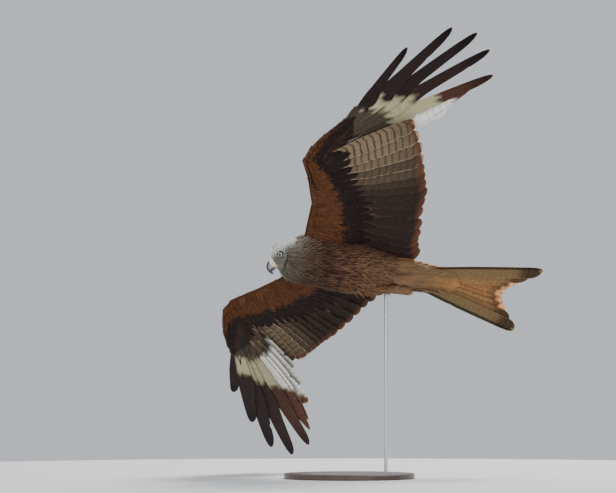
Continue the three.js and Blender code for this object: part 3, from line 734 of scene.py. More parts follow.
def wing_tube(q):
    """Flesh of a wing as a tube: the chord's share is (1 - cos a) / 2, upper face first."""
    k, a = rings(0.2, 26.2, 40, 20)
    c = (1 - np.cos(a)) / 2 * 0.97 + 0.01
    up_face, _ = flesh(q, k, c, 1.0, 2.0)
    low_face, _ = flesh(q, k, c, -1.0, 2.0)
    ring = np.where((np.sin(a) >= 0)[..., None], up_face, low_face)
    return ring if q["side"] < 0 else ring[:, ::-1]


LEG_AT, LEG_SIZE, LEG_COAT = np.array([-48, 24, -40.5]), np.array([42, 17.5, 19]), 4
BODY_COAT = [-208, -30, 120, 149], [3.4, 5.5, 4.5, 10]
HEAD_COAT = 2.2

x, a = rings(-208, 149, 74, 36)
hx, ha = rings(-34, 28.6, 46, 40)
forms = [body_at(x, a, np.interp(x, *BODY_COAT)), from_head(head_at(hx, ha, HEAD_COAT)),
         ball(LEG_AT, LEG_SIZE - LEG_COAT), ball(LEG_AT * [1, -1, 1], LEG_SIZE - LEG_COAT),
         wing_tube(QUILLS["left"]), wing_tube(QUILLS["right"])]
points, polygons = joined(forms)
print("forms of the skin:", len(forms))


# %% Skin
def skin_finish():
    """Dull skin with down: rufous on the body, grey brown on head and neck, mottled. The down is
    kept dark, partly its own colour and partly painted shade for the gaps between feathers.
    """
    f = Finish("skin_down", Roughness=0.9, Specular_IOR_Level=0.15)
    place = f.place()
    mottle = f.noise(place, 120.0, 4.0)
    head = tuple(to_world(from_head(np.array([2.0, 0, 0]))))
    far = f.node("ShaderNodeVectorMath", {"operation": "DISTANCE"}, {0: place, 1: head}, 1)
    pale = 1 - f.step(far, 0.060, 0.095)
    # Painted shade: the down is kept dark so the gaps between feathers read as shaded.
    base = f.mix(mottle, (0.05, 0.025, 0.015), (0.13, 0.06, 0.03))
    return f.feed(Base_Color=f.mix(pale, base, (0.105, 0.085, 0.068)),
                  Normal=f.bump(mottle, 0.5, 0.001))


skin = piece("skin", to_world(points), polygons, skin_finish(),
             ("head", "neck", "torso", "left_leg", "right_leg"))
weld = skin.modifiers.new("join", "REMESH")
weld.mode, weld.voxel_size, weld.use_smooth_shade = "VOXEL", 0.0035, True
smooth = skin.modifiers.new("ease", "SMOOTH")
smooth.factor, smooth.iterations = 0.5, 3

# %% [markdown]
# Body feathers lie in staggered rows like shingles, each tip over the roots behind it.
# Scattered at random they would leave bare spots, and in exact rows they would look like
# tiles, so rows are laid out first and each feather is then moved a little. Breast and neck
# feathers have a dark streak along the shaft and a buff rim, which fade to plain buff at the
# vent. The back is darker, with rufous rims.

# %% Rows of small feathers
JITTER = 0.3


def staggered(surface, xs, gap):
    """Rows at each x: feather k of a ring of n stands at the angle 2 pi (k + stagger
    + jitter) / n, where n is the ring's length over the gap."""
    rows = []
    for k, x in enumerate(xs):
        ring = surface(np.full(64, x), np.linspace(0, 2 * np.pi, 64))
        count = max(8, int(np.linalg.norm(np.diff(ring, axis=0), axis=-1).sum() / gap))
        a = (np.arange(count) + 0.5 * (k % 2) + JITTER * (rng.random(count) - 0.5)) / count
        rows.append(np.c_[x + JITTER * gap * (rng.random(count) - 0.5), a * 2 * np.pi])
    return np.concatenate(rows).T


def shingle(surface, x, a, length, wide, form, shape, lift, yaw, sink=0.8, lay=None, **more):
    """Feathers rooted at surface(x, a), laid back along x and lifted by a small angle."""
    normal, back = facing(surface, x, a)
    side = np.cross(normal, back)
    swing = np.radians(yaw * rng.standard_normal(len(x)))[:, None]
    aim = back * np.cos(swing) + side * np.sin(swing)
    rise = np.radians(lift * (0.8 + 0.4 * rng.random(len(x))))[:, None]
    root = surface(x, a) - normal * sink
    aim = aim * np.cos(rise) + normal * np.sin(rise)
    up = normal * np.cos(rise) - back * np.sin(rise)
    if lay is not None:
        root, aim, up = lay(root), lay(aim) - lay(0 * aim), lay(up) - lay(0 * up)
    scale = 0.85 + 0.3 * rng.random(len(x))
    half = (wide * scale)[:, None] * shape
    return feathers(form, root, aim, up, length * scale, half, half, camber=0.3, **more)


print("jitter of the rows, shares of the gap:", JITTER)


# %% Body feathers
def blend(t, *colours):
    """Colours at t = 0, 1, 2, ... and straight mixes between them, with an alpha."""
    c = np.array(colours, float)
    return np.stack([np.interp(t, np.arange(len(c)), c[:, j]) for j in range(c.shape[1])], -1)


def body_colours(x, a):
    """Ground, mark and rim by place: t runs from 0 at the neck to 5 at the tail's root,
    belly from 0 above to 1 underneath."""
    belly = np.clip(-np.sin(a) * 1.2 + 0.1, 0, 1)
    t = np.interp(x, [-150, -105, -40, 60, 112, 150], [5, 4, 3, 2, 1, 0])
    low = blend(t, (0.115, 0.095, 0.070), (0.085, 0.047, 0.030), (0.120, 0.060, 0.034),
                (0.225, 0.125, 0.066), (0.215, 0.122, 0.062), (0.18, 0.100, 0.046))
    high = blend(t, (0.30, 0.28, 0.24), (0.16, 0.10, 0.065), (0.08, 0.038, 0.022), (0.065, 0.034, 0.022),
                 (0.10, 0.045, 0.024), (0.24, 0.095, 0.035))
    ground = high + (low - high) * belly[:, None]
    streak = np.interp(x, [-150, -105, -50, 60, 110, 150], [0.0, 0.18, 0.48, 0.56, 0.56, 0.42])
    streak = streak * (0.45 + 0.9 * rng.random(len(x)))
    edge = np.interp(x, [-150, -60, 60, 150], [0.06, 0.12, 0.18, 0.10])
    rim = high * 1.7 + (np.maximum(low * 1.7, [0.2, 0.12, 0.07]) - high * 1.7) * belly[:, None]
    mark = blend(t, (0.045, 0.034, 0.028), (0.032, 0.017, 0.013), (0.028, 0.012, 0.009),
                 (0.030, 0.013, 0.009), (0.06, 0.026, 0.014), (0.12, 0.055, 0.026))
    return np.c_[ground, 0 * x], np.c_[mark, streak], np.c_[rim, edge]


BODY_STATIONS = [-150, -60, 60, 130, 157]              # x at which body feathers are measured
x, a = staggered(body_at, np.arange(157, -156, -6.2), 5.4)
ground, mark, rim = body_colours(x, a)
length = np.interp(x, BODY_STATIONS, [38, 46, 40, 22, 13])
wide = np.interp(x, BODY_STATIONS, [6.5, 5.6, 4.8, 3.4, 2.4])
body_tract = shingle(lambda x, a: body_at(x, a, 4.0), x, a, length, wide, SMALL, LANCE, 5.0, 5,
                     curl=-0.02, coat=ground, mark=mark, rim=rim, seat=seats(a, x, -212, 160))
print("body feathers:", body_tract["n"])

# %% [markdown]
# A flying kite tucks its folded feet into the long feathers of the thighs and the vent, and
# a few toes show between them. The body's own rows run round a smooth egg and would float
# over the bulge of the thighs, so the thighs and the loose feathers round each foot are
# surfaces with rows of their own, in the colours of the belly.

# %% Thighs and foot covers
FOOT_PATH = [-128, -103, -84, -60], [15, 16, 20, 24]   # y of the folded foot at some x
FOOT_Z, COVER_WIDE, COVER_HIGH = -46.5, 11.5, 11.0
THIGH_COAT = dict(mark=(0.05, 0.024, 0.014, 0.34), rim=(0.24, 0.14, 0.08, 0.10))


def leg_at(side):
    """Surface of one thigh."""
    def surface(x, a, sink=0.0):
        """An ellipsoid with its long axis along the body."""
        at, size = LEG_AT * [1, side, 1], LEG_SIZE - sink
        r = np.sqrt(np.clip(1 - ((x - at[0]) / size[0]) ** 2, 0.02, 1))
        return np.stack([x + 0 * a, at[1] + size[1] * r * np.cos(a),
                         at[2] + size[2] * r * np.sin(a)], -1)
    return surface


def foot_at(side):
    """Surface of the loose feathers over one shank and its toes."""
    def surface(x, a, sink=0.0):
        """A tube of 11 mm along the folded foot."""
        y = side * np.interp(x, *FOOT_PATH)
        return np.stack([x + 0 * a, y + (COVER_WIDE - sink) * np.cos(a),
                         FOOT_Z + (COVER_HIGH - sink) * np.sin(a)], -1)
    return surface


legs = []
for side in (1, -1):
    cover, thigh = foot_at(side), leg_at(side)
    x, a = staggered(cover, np.arange(-58, -136, -6.0), 4.4)
    ground, mark, rim = body_colours(x, 0 * a - np.pi / 2)
    legs.append(shingle(cover, x, a, 26.0, 4.6, SMALL, LANCE, 1, 2, sink=1.5, coat=ground,
                        mark=mark, rim=rim, seat=seats(a, x, -212, 160)))
    x, a = staggered(thigh, np.arange(-12, -88, -7.0), 5.8)
    tone = np.c_[np.tile([0.165, 0.088, 0.044], (len(x), 1)), 0 * x]
    legs.append(shingle(lambda x, a: thigh(x, a, 3.0), x, a, 36.0, 5.0, SMALL, LANCE, 1.0, 2,
                        coat=tone, seat=seats(a, x, -212, 140), **THIGH_COAT))
coat_piece("body_feathers", [body_tract, *legs], BODY_PLUMAGE)

# %% [markdown]
# Head feathers are narrow and pointed, pale grey with a fine dark shaft line. The crown is nearly
# white, partly its own colour and partly painted light, and the throat is darkened with painted
# shade. Fur strands would be too thin for them and too many, so they are the same shells at a
# few millimetres. They are smallest at the bill, leave the eye's lids and the gape bare, and
# grow towards the nape.

# %% Head feathers
HEAD_GREY = np.array([0.27, 0.26, 0.235])
# Painted light is added on the top of the head, and painted shade is taken off under it.
CROWN_PAINTED_LIGHT, THROAT_PAINTED_SHADE = [0.56, 0.56, 0.54], [0.06, 0.07, 0.075]
GAPE_Z, GAPE_BARE, LID_CLEAR = -13.2, 1.1, 6.6


def head_mask(p):
    """True where feathers grow: off the eye's lids and off the gape."""
    eye = np.linalg.norm((p - EYE_AT) * [1, 0, 1], axis=-1)
    gape = (np.abs(p[:, 2] - GAPE_Z) < GAPE_BARE) & (p[:, 0] > 13)
    return (eye > LID_CLEAR) & ~gape


HEAD_STATIONS = [-35, -10, 12, 22, 29]                 # x at which head feathers are measured
HEAD_ROWS = np.concatenate([np.arange(28.6, 12, -1.5), np.arange(12, -35, -1.9)])
x, a = staggered(head_at, HEAD_ROWS, 1.9)
keep = head_mask(head_at(x, a))
x, a = x[keep], a[keep]
z = head_at(x, a)[:, 2]
length = np.interp(x, HEAD_STATIONS, [10.5, 7.5, 5.0, 3.0, 1.9])
wide = np.interp(x, HEAD_STATIONS, [1.7, 1.35, 1.0, 0.75, 0.55])
crown = np.clip(np.sin(a) * 1.3, 0, 1)
throat = np.clip(-np.sin(a) * 1.3 - 0.2, 0, 1)
behind = np.exp(-((x + 10) / 8) ** 2 - ((z - 5) / 6) ** 2)             # dusky behind the eye
lore = np.exp(-((x - 20) / 6) ** 2 - ((z - 3) / 7) ** 2)               # and in front of it
# Painted light on the crown, painted shade on the throat.
ground = HEAD_GREY + crown[:, None] * CROWN_PAINTED_LIGHT - throat[:, None] * THROAT_PAINTED_SHADE
ground = ground * (1 - 0.50 * behind[:, None]) * (1 - 0.55 * lore[:, None])
streak = np.clip(0.14 + 0.30 * rng.random(len(x)) + 0.30 * behind - 0.20 * (x > 18), 0, 0.7)
head_tract = shingle(lambda x, a: head_at(x, a, 0.6), x, a, length, wide, TINY, HACKLE, 7, 7,
                     sink=0.3, lay=from_head, thick=0.22,
                     coat=np.c_[np.clip(ground, 0.03, 1), 0 * x],
                     mark=np.c_[np.tile([0.060, 0.052, 0.046], (len(x), 1)), streak],
                     rim=(0.44, 0.43, 0.40, 0.05), seat=seats(a, x, -36, 30))
print("head feathers:", head_tract["n"])

# %% [markdown]
# The head looks aside, so its back meets the front of the neck at an angle. A smooth join
# of the two would show bare skin, and a real bird hides it under a collar of longer,
# streaked feathers. They stand on a low dome over the end of the neck.

# %% Collar
COLLAR_LOW, COLLAR_DEEP, COLLAR_HIGH = 157, 13, 11
COLLAR_SHADE = np.array([0.17, 0.15, 0.12])


def collar_at(x, a, sink=0.0):
    """Front of the neck round the head: a low dome. x = 157 is its rim and x = 170 its
    middle; at share s of the rim's radius it stands 11 (1 - s^2) proud of the rim."""
    w, h, z, y = np.moveaxis(through(BODY, COLLAR_LOW + 0 * x), -1, 0)
    share = np.clip((COLLAR_LOW + COLLAR_DEEP - x) / COLLAR_DEEP, 0.02, 1)
    proud = COLLAR_HIGH * (1 - share ** 2) - sink
    return np.stack([COLLAR_LOW + proud + 0 * a, y + w * share * np.cos(a),
                     z + h * share * np.sin(a)], -1)


x, a = staggered(collar_at, np.arange(169, 156.5, -1.6), 2.6)
low = np.clip(-np.sin(a), 0, 1)[:, None]
ground = between(HEAD_GREY, COLLAR_SHADE, low)
ground = ground * (0.75 + 0.5 * rng.random((len(x), 1)))
streak = 0.12 + 0.30 * rng.random(len(x))
collar_tract = shingle(collar_at, x, a, 11.0, 1.9, SMALL, LANCE, 7, 6, sink=0.6, thick=0.3,
                       coat=np.c_[ground, 0 * x],
                       mark=np.c_[np.tile([0.050, 0.042, 0.036], (len(x), 1)), streak],
                       rim=(0.36, 0.34, 0.30, 0.08), seat=seats(a, x, 170, 156))
coat_piece("head_feathers", [head_tract, collar_tract], HEAD_PLUMAGE)

# %% [markdown]
# Flight feathers carry the outline. The five outer primaries narrow sharply half way along
# into free fingers, which is what lets a soaring bird spread slots at its wing tip. A drawn
# curve per feather would do, but a few stations of half widths are quicker to compare with a
# real feather, so the outline runs between stations and is then smoothed and rounded.

# %% Outline of a feather
REMEX = [[0, 1.5, 1.5], [0.14, 8, 18], [0.5, 12, 29], [0.9, 12, 27], [1, 9, 18]]
RECTRIX = [[0, 1.5, 1.5], [0.14, 7, 14], [0.5, 9, 23], [0.92, 8.5, 24], [1, 6, 14]]


def outline(stations, v, soft=15):
    """Half widths (leading, trailing) at v: straight between stations, then smoothed by a
    Hann window, and rounded at the tip by sqrt(1 - ((v - 0.95) / 0.051)^2)."""
    s = np.array(stations)
    fine = np.linspace(0, 1, 201)
    window = np.hanning(soft + 2)[1:-1]
    tip = np.sqrt(np.clip(1 - ((v - 0.95).clip(0) / 0.051) ** 2, 0, 1))
    sides = []
    for k in (1, 2):
        w = np.pad(np.interp(fine, s[:, 0], s[:, k]), soft // 2, mode="edge")
        sides.append(np.interp(v, fine, np.convolve(w, window / window.sum(), "valid")) * tip)
    return sides


def torn(width, v, count, depth=0.3):
    """Small splits in the vane: width times 1 - depth max(0, 1 - |v - v0| / 0.025)."""
    n = len(width)
    for _ in range(count):
        at = 0.35 + 0.6 * rng.random((n, 1))
        cut = depth * rng.random((n, 1)) * (rng.random((n, 1)) < 0.6)
        width = width * (1 - cut * np.clip(1 - np.abs(v - at) / 0.025, 0, 1))
    return width


print("widest vane, mm:", round(float(outline(REMEX, FLIGHT_V)[1].max()), 1))

# %% [markdown]
# From below the hand is white with nearly black fingers, and the secondaries are dark with
# bars that grow paler towards the wrist. The inner webs of the first five primaries carry
# painted backlit glow. A shader could find these fields by place, but they belong to the
# feathers and would slide if the wing moved, so each quill gets its colours by number, by the
# distance from its root and by face. Where coverts lie over a quill, its base is darkened with
# painted shade, so that no white shines between them.

# %% Colours of the quills
FINGER_BLACK, INNER_RUFOUS = [0.019, 0.011, 0.010], [0.120, 0.046, 0.024]
BACKLIT_EDGE_GLOW, COVERT_SHADE = [0.84, 0.82, 0.76], [0.058, 0.046, 0.030]
ARM_DARK, ARM_PALE, ARM_END = [0.017, 0.010, 0.008], [0.22, 0.155, 0.095], [0.105, 0.040, 0.020]
HAND_ABOVE, ARM_ABOVE = [0.028, 0.020, 0.017], [0.045, 0.028, 0.020]


def hand_below(q, k, uu, v, toward):
    """White window up to a wavy end, with painted backlit glow on the inner webs of primaries 1 to
    5, then the tip's tone; covered bases are darkened with painted shade.
    """
    number, along_it = k - 14, v * q["length"][:, None]    # primaries are number 1 to 10
    end = np.concatenate([np.zeros(15), q["white"]])[:, None] + 7 * np.sin(7 * uu[None] + 2.3 * k)
    dark = np.where(number > 2, ramp(along_it, end, end + 12), 0)
    vane_from = (9.6 - number) * 0.9                       # outermost leading vanes are dark
    dark = np.maximum(dark, ramp(toward, vane_from, vane_from + 0.3) * (number > 6))[..., None]
    tip = between(FINGER_BLACK, INNER_RUFOUS, np.clip((7.2 - number) / 3, 0, 1)[..., None])
    tip = tip * (1 - 0.65 * ramp(v, 0.80, 0.95) * (number > 5))[..., None]
    # Painted backlit glow: the inner webs of primaries 1 to 5 turn nearly white.
    lit = (np.clip(-toward * 1.3, 0, 1) * (number < 6))[..., None]
    tone = between(between(q["window"], BACKLIT_EDGE_GLOW, lit), tip, dark)
    # Painted shade: each quill's base darkens where the coverts lie over it.
    reach = np.interp(k, COVERT_REACH_AT, q["cover"]) + 6 * np.sin(9 * uu[None] + 1.7 * k)
    return between(tone, COVERT_SHADE, np.clip((reach - along_it) / 8, 0, 1)[..., None])


def arm_below(v, pale):
    """Dark vanes, paler in the middle of the outer ones, with a rufous end."""
    return between(between(ARM_DARK, ARM_PALE, pale), ARM_END, ramp(v, 0.91, 0.97)[..., None])


def remex_colours(q, form):
    """Ground and bars of the 25 quills at every point, from number, v and face."""
    uu, vv, face = form[2:]
    k = np.arange(25)[:, None]
    v, under, primary = vv[None], (face < 0)[None], k >= 15
    toward = uu[None] * np.sign((q["outer"] * np.cross(q["aim"], q["up"])).sum(-1))[:, None]
    pale = np.interp(k, [0, 5, 8, 11, 14], [0.0, 0.03, 0.09, 0.36, 1.0])[..., None]
    pale = pale * np.clip(1.15 - np.abs(v - 0.55)[..., None] * 1.2, 0.3, 1)
    low = np.where(primary[..., None], hand_below(q, k, uu, v, toward), arm_below(v, pale))
    high = np.where(primary[..., None], HAND_ABOVE, ARM_ABOVE) * np.ones_like(low)
    ground = np.where(under[..., None], low, high)
    faint = np.where(k < 20, 0.22 * ramp(v, 0.55, 0.75), 0.0)
    bars_below = np.where(primary, faint, 0.55 * pale[..., 0] + 0.15)
    bars = np.where(under, bars_below, np.where(primary, 0.2, 0.3))
    return np.concatenate([ground, bars[..., None] * np.ones((25, len(uu), 1))], -1)


print("colours of the quills:", remex_colours(QUILLS["left"], FLIGHT).shape)


# %% Flight feathers
BURIED, VANE_TILT, STACK_GAP = 8, 5.5, 0.95            # mm in the flesh, degrees, mm
RIM_ARM, RIM_HAND = [0.12, 0.065, 0.038, 0.02], [0.03, 0.02, 0.018, 0.01]
RIM_WRIST, RIM_INNER = [0.46, 0.33, 0.21, 0.035], [0.70, 0.68, 0.60, 0.0]


def tilted(outer, up, degrees):
    """Leading side and normal of feathers turned about their shafts."""
    t = np.radians(degrees)[:, None]
    return outer * np.cos(t) + up * np.sin(t), up * np.cos(t) - outer * np.sin(t)


def flight(name):
    """The 25 quills of one wing: fingers from the sixth primary on, a short last one."""
    q = QUILLS[name]
    k = np.arange(25)
    arm = k < 15
    right, up = tilted(q["outer"], q["up"], np.where(arm, VANE_TILT, 0.0))
    level = np.where(arm, 0.0, (4.5 - (k - 15)) * STACK_GAP)
    root = q["root"] - q["aim"] * BURIED + q["up"] * level[:, None]
    wide = np.where(k == 24, 0.8, 1.0)[:, None]
    taper = 1 - 0.75 * ramp(FLIGHT_V, 0.72, 1.0) * ((k == 18) | (k == 19))[:, None]
    lead, trail = (np.where((k > 19)[:, None], f, r) * wide * taper for f, r in
                   zip(outline(q["finger"], FLIGHT_V, 25), outline(REMEX, FLIGHT_V)))
    rim = np.where(arm[:, None], RIM_ARM, RIM_HAND)
    rim[11:15], rim[15:20] = RIM_WRIST, RIM_INNER
    seat, size = cells(25, 8)
    return feathers(FLIGHT, root, q["aim"], up, q["length"] + BURIED,
                    torn(lead, FLIGHT_V, 2, 0.2), torn(trail, FLIGHT_V, 3),
                    remex_colours(q, FLIGHT), (0.014, 0.010, 0.009, 0.0), rim, seat, right,
                    camber=0.05, curl=-0.006,
                    bend=np.where(arm, 0.03, np.where(k > 19, 0.035, 0.02))[:, None], patch=size)


for name in ("left", "right"):
    coat_piece(f"{name}_flight_feathers", [flight(name)], WING_PLUMAGE,
               (f"{name}_wing_arm", f"{name}_wing_hand"))

# %% [markdown]
# Coverts close the wing over the quills, in tiers from both faces. Below, a blackish band of
# median coverts follows the rufous forearm, and pale-tipped greater coverts lie over the
# roots of the quills. Above, the medians make a tan panel. Each is a blade like a quill's,
# only shorter, with its root ahead of the quill's root: laid by place alone, without the
# quills, the tiers would cross where the wing bends.

# %% Tiers of coverts
COVERT_V = np.linspace(0, 1, 12) ** 0.85
COVERT = blade(COVERT_V, np.array([-1, -0.55, -0.1, 0.1, 0.55, 1]))
GREATER = [[0, 1.5, 1.5], [0.3, 8, 12], [0.7, 11, 17], [0.93, 9.5, 14.5], [1, 4, 6]]
ROOM_AT = [0, 9, 12, 14, 15.5, 18, 24], [1, 1, 0.8, 0.25, 0.3, 0.6, 0.4]
# Each tier: feathers, last quill, reach, level over the quills, tilt into the wing, width,
# start ahead of the quill's root, and the colours of ground, mark and rim. ROOM_AT shortens
# that start near the wrist and on the hand, where there is less flesh.
UPPER_TIERS = [
    (36, 24, [98, 92, 120, 112, 104, 80, 50], 3.4, 1.2, 1.0, 8,
     ((0.060, 0.034, 0.023, 0.1), (0.016, 0.011, 0.010, 0.2), (0.24, 0.14, 0.08, 0.06))),
    (40, 24, [84, 78, 80, 76, 70, 56, 42], 7.2, 2.4, 0.84, 26,
     ((0.22, 0.135, 0.08, 0), (0.04, 0.024, 0.018, 0.22), (0.36, 0.25, 0.16, 0.10)))]
LOWER_TIERS = [
    (40, 24, [110, 102, 100, 90, 80, 62, 44], 7.2, 2.4, 0.80, 26,
     ((0.013, 0.008, 0.007, 0), (0.008, 0.005, 0.005, 0.2), (0.075, 0.04, 0.026, 0.05))),
    (46, 24.5, [72, 68, 68, 62, 56, 44, 34], 9.4, 4.0, 0.56, 30,
     ((0.017, 0.009, 0.008, 0), (0.008, 0.005, 0.005, 0.2), (0.10, 0.05, 0.028, 0.06)))]


def spread(n, last):
    """Places of n coverts from the body to quill number last, a little uneven."""
    return np.linspace(0.3, last, n) + 0.12 * (rng.random(n) - 0.5)


def tier(q, k, face, reach, level, lift, wide, ahead, colours):
    """Row of coverts: root ahead of the quill's root, tip on the quill at the given level."""
    root, aim, up, outer = at_quill(q, k)
    n = len(k)
    ahead = (ahead * np.interp(k, *ROOM_AT))[:, None]
    reach = np.interp(k, COVERT_REACH_AT, reach) * (0.95 + 0.10 * rng.random(n))
    root = root - aim * ahead + up * face * level
    yaw = np.radians(2.5 * rng.standard_normal(n))[:, None]
    aim = unit(aim * np.cos(yaw) + outer * np.sin(yaw) - up * face * np.sin(np.radians(lift)))
    outer, normal = tilted(outer, up, np.where(k < 14.6, 7.0, 4.0))
    lead, trail = (w * wide for w in outline(GREATER, COVERT_V, 9))
    seat = np.c_[k / 26, np.full(n, 0.5 + 0.2 * face)] * 0.97
    return feathers(COVERT, root, aim, normal * face, reach, lead, trail, *colours, seat, outer,
                    camber=0.10, curl=-0.01, thick=0.4, patch=0.012)


def pale_tipped(k):
    """Colours of the greater coverts below: dark with pale rims, palest at the wrist."""
    pale = np.interp(k, [0, 5, 12, 14.5, 16, 24], [0.25, 0.5, 0.9, 1.0, 0.75, 0.6])[:, None]
    pale = pale * (0.75 + 0.5 * rng.random((len(k), 1)))
    ground = between([0.018, 0.011, 0.009], [0.078, 0.060, 0.040], pale)
    rim = between([0.04, 0.04, 0.04], [0.34, 0.26, 0.17], pale)
    return np.c_[ground, 0.15 + 0 * k], (0.014, 0.010, 0.008, 0.22), np.c_[rim, 0.13 + 0 * k]


print("tiers above:", len(UPPER_TIERS), "below:", 1 + len(LOWER_TIERS))

# %% [markdown]
# Lesser coverts are the small feathers on the flesh itself, in rows from the leading edge
# back. Below they are rufous near the edge and black behind, above brown and then tan. Three
# rows of tiny marginal feathers lie outwards along the edge and close it, where rows from
# both faces would leave a gap.

# %% Small feathers of the wing
LESSER_ROWS, LESSER_IN_ROW = 11, 62
FOREARM_RUFOUS, FOREARM_BLACK = [0.098, 0.035, 0.013], [0.014, 0.008, 0.007]
FOREARM_RIM, BLACK_RIM = [0.13, 0.056, 0.026], [0.05, 0.026, 0.016]
BACK_BROWN, BACK_TAN, BACK_RIM = [0.085, 0.040, 0.022], [0.23, 0.14, 0.08], [0.26, 0.14, 0.07]


def lesser_colours(k, c, face):
    """Ground, mark and rim by quill number k and share c of the chord."""
    if face < 0:
        edge = np.interp(k, [0, 10, 14, 17, 21, 26], [0.52, 0.46, 0.24, 0.10, 0.05, 0.03])
        dusk = np.clip((c - edge) / 0.12 + 0.3 * rng.standard_normal(len(k)), 0, 1)[:, None]
        ground = between(FOREARM_RUFOUS, FOREARM_BLACK, dusk)
        ground = ground * (0.8 + 0.4 * rng.random((len(k), 1)))
        rim = between(FOREARM_RIM, BLACK_RIM, dusk)
        streak = 0.10 + 0.12 * rng.random(len(k))
    else:
        ground = between(BACK_BROWN, BACK_TAN, ramp(c, 0.45, 0.75)[:, None])
        rim = np.tile(BACK_RIM, (len(k), 1))
        streak = 0.2 + 0.2 * rng.random(len(k))
    mark = np.tile([0.025, 0.014, 0.010], (len(k), 1))
    return np.c_[ground, 0 * k], np.c_[mark, streak], np.c_[rim, 0.09 + 0 * k]


def lesser(q, face):
    """Small feathers in rows from the leading edge back over the flesh, on one face."""
    rows = []
    for r, c in enumerate(np.linspace(0.02, 0.80, LESSER_ROWS)):
        stagger = 0.2 if r % 2 else -0.2
        k = np.linspace(0.6, 26.2, LESSER_IN_ROW) + stagger
        k = k + 0.15 * (rng.random(LESSER_IN_ROW) - 0.5)
        rows.append(np.c_[k, c + 0.03 * (rng.random(LESSER_IN_ROW) - 0.5)])
    k, c = np.concatenate(rows).T
    k, c = np.clip(k, 0.1, 26.4), np.clip(c, 0.005, 0.95)
    point, normal = flesh(q, k, c, face, 1.0)
    aim = at_quill(q, k)[1]
    wrap = flesh(q, k, np.clip(c + 0.02, 0, 0.98), face, 1.0)[0] - point
    turn_back = np.clip(1 - c / 0.25, 0.1, 1)[:, None]
    aim = unit(aim * (1 - turn_back) + unit(wrap) * turn_back)
    aim = unit(aim - normal * (aim * normal).sum(-1, keepdims=True))
    swing = np.radians(6 * rng.standard_normal(len(k)))[:, None]
    aim = unit(aim * np.cos(swing) + np.cross(normal, aim) * np.sin(swing) + normal * 0.07)
    size = np.interp(c, [0, 0.3, 0.8], [13, 21, 30]) * np.interp(k, [0, 18, 26], [1.1, 1, 0.65])
    half = size * np.interp(c, [0, 0.8], [0.23, 0.22]) * (0.9 + 0.2 * rng.random(len(k)))
    half = half[:, None] * ROUND
    seat = np.c_[k / 28, 0.5 + face * (0.05 + 0.4 * c)] * 0.98
    return feathers(SMALL, point, aim, normal, size, half, half, *lesser_colours(k, c, face),
                    seat, thick=0.45)


def marginal(q):
    """Three rows of tiny feathers that lie outwards along the leading edge and close it."""
    k = np.concatenate([np.arange(0.8, 26.0, 0.24) + shift for shift in (0, 0.08, 0.16)])
    c = np.concatenate([np.full(len(k) // 3, value) for value in (0.0, 0.006, 0.006)])
    face = np.concatenate([np.full(len(k) // 3, value) for value in (1.0, 1.0, -1.0)])
    point, normal = flesh(q, k, c, face, 1.2)
    aim = unit(flesh(q, k + 0.2, c, face, 1.2)[0] - point)
    size = np.interp(k, [0, 12, 13.5, 15.5, 17, 26], [17, 15, 6, 6, 12, 11])
    half = size[:, None] * 0.25 * ROUND
    tone = blend(np.interp(k, [0, 16, 26], [0, 0.4, 1]), (0.09, 0.034, 0.015, 0),
                 (0.022, 0.014, 0.011, 0))
    return feathers(SMALL, point - normal * 0.6, unit(aim + normal * 0.05), normal, size, half,
                    half, tone, (0.02, 0.012, 0.01, 0.1), (0.12, 0.055, 0.03, 0.06),
                    np.c_[k / 28, 0.5 + 0.02 * face], camber=0.3, thick=0.4)


# %% Coverts
def coverts(name):
    """All tiers and small feathers of one wing."""
    q = QUILLS[name]
    rows = []
    for count, last, *measures in UPPER_TIERS:
        rows.append(tier(q, spread(count, last), 1.0, *measures))
    k = spread(36, 24)
    colours = pale_tipped(k)
    rows.append(tier(q, k, -1.0, q["cover"], 3.6, 1.2, 1.0, 8, colours))
    for count, last, *measures in LOWER_TIERS:
        rows.append(tier(q, spread(count, last), -1.0, *measures))
    return rows + [lesser(q, 1.0), lesser(q, -1.0), marginal(q)]


for name in ("left", "right"):
    coat_piece(f"{name}_coverts", coverts(name), WING_PLUMAGE)

# %% [markdown]
# The tail is a fan of twelve feathers with a deep fork, because the outer pair is far
# longer than the middle one. One sheet with a notch would have no steps at its edge, so it
# is made of single feathers, each half overlapping outwards from the middle pair.

# %% Tail feathers
TAIL_ROOT = np.array([-150, 6, -8.0])
FAN_FROM, FAN_TO = 9.7, -18.4                          # sweep of the outer feathers in degrees
OUTER_LENGTH, FORK_DEEP, ROOT_WIDE = 316, 72, 28
RIGHT_HALF = np.arange(12) > 5
PAIR = np.where(RIGHT_HALF, np.arange(12) - 6, 5 - np.arange(12))      # 0 middle, 5 outermost
BELOW_MIDDLE, BELOW_OUTER = [0.36, 0.155, 0.052], [0.148, 0.096, 0.042]
FORK_BACKLIT_GLOW, TAIL_ABOVE = [0.80, 0.37, 0.15], np.array([0.40, 0.155, 0.05])


def rectrices():
    """Roots, directions, normals, outer sides and lengths of the twelve: the sweep runs evenly
    over the fan, and the length is outer - fork (1 - (1 - f)^2.2), f from 0 outside to 1."""
    t = np.arange(12) / 11
    sweep = np.radians(FAN_FROM + (FAN_TO - FAN_FROM) * t)
    rise = np.radians(-2.5 + 0.5 * t)
    fork = 1 - np.abs(2 * t - 1)
    length = OUTER_LENGTH - FORK_DEEP * (1 - (1 - fork) ** 2.2)
    root = TAIL_ROOT + np.c_[0 * t, ROOT_WIDE / 2 - ROOT_WIDE * t, 0 * t]
    aim = np.stack([-np.cos(sweep) * np.cos(rise), np.sin(sweep) * np.cos(rise), np.sin(rise)], -1)
    up = np.tile([0, 0, 1.0], (12, 1))
    outer = unit(np.cross(up, aim)) * np.where(RIGHT_HALF, 1, -1)[:, None]
    level = 4.6 - 0.9 * (2 * PAIR + RIGHT_HALF)
    return root - aim * BURIED + up * level[:, None], aim, up, outer, length + BURIED


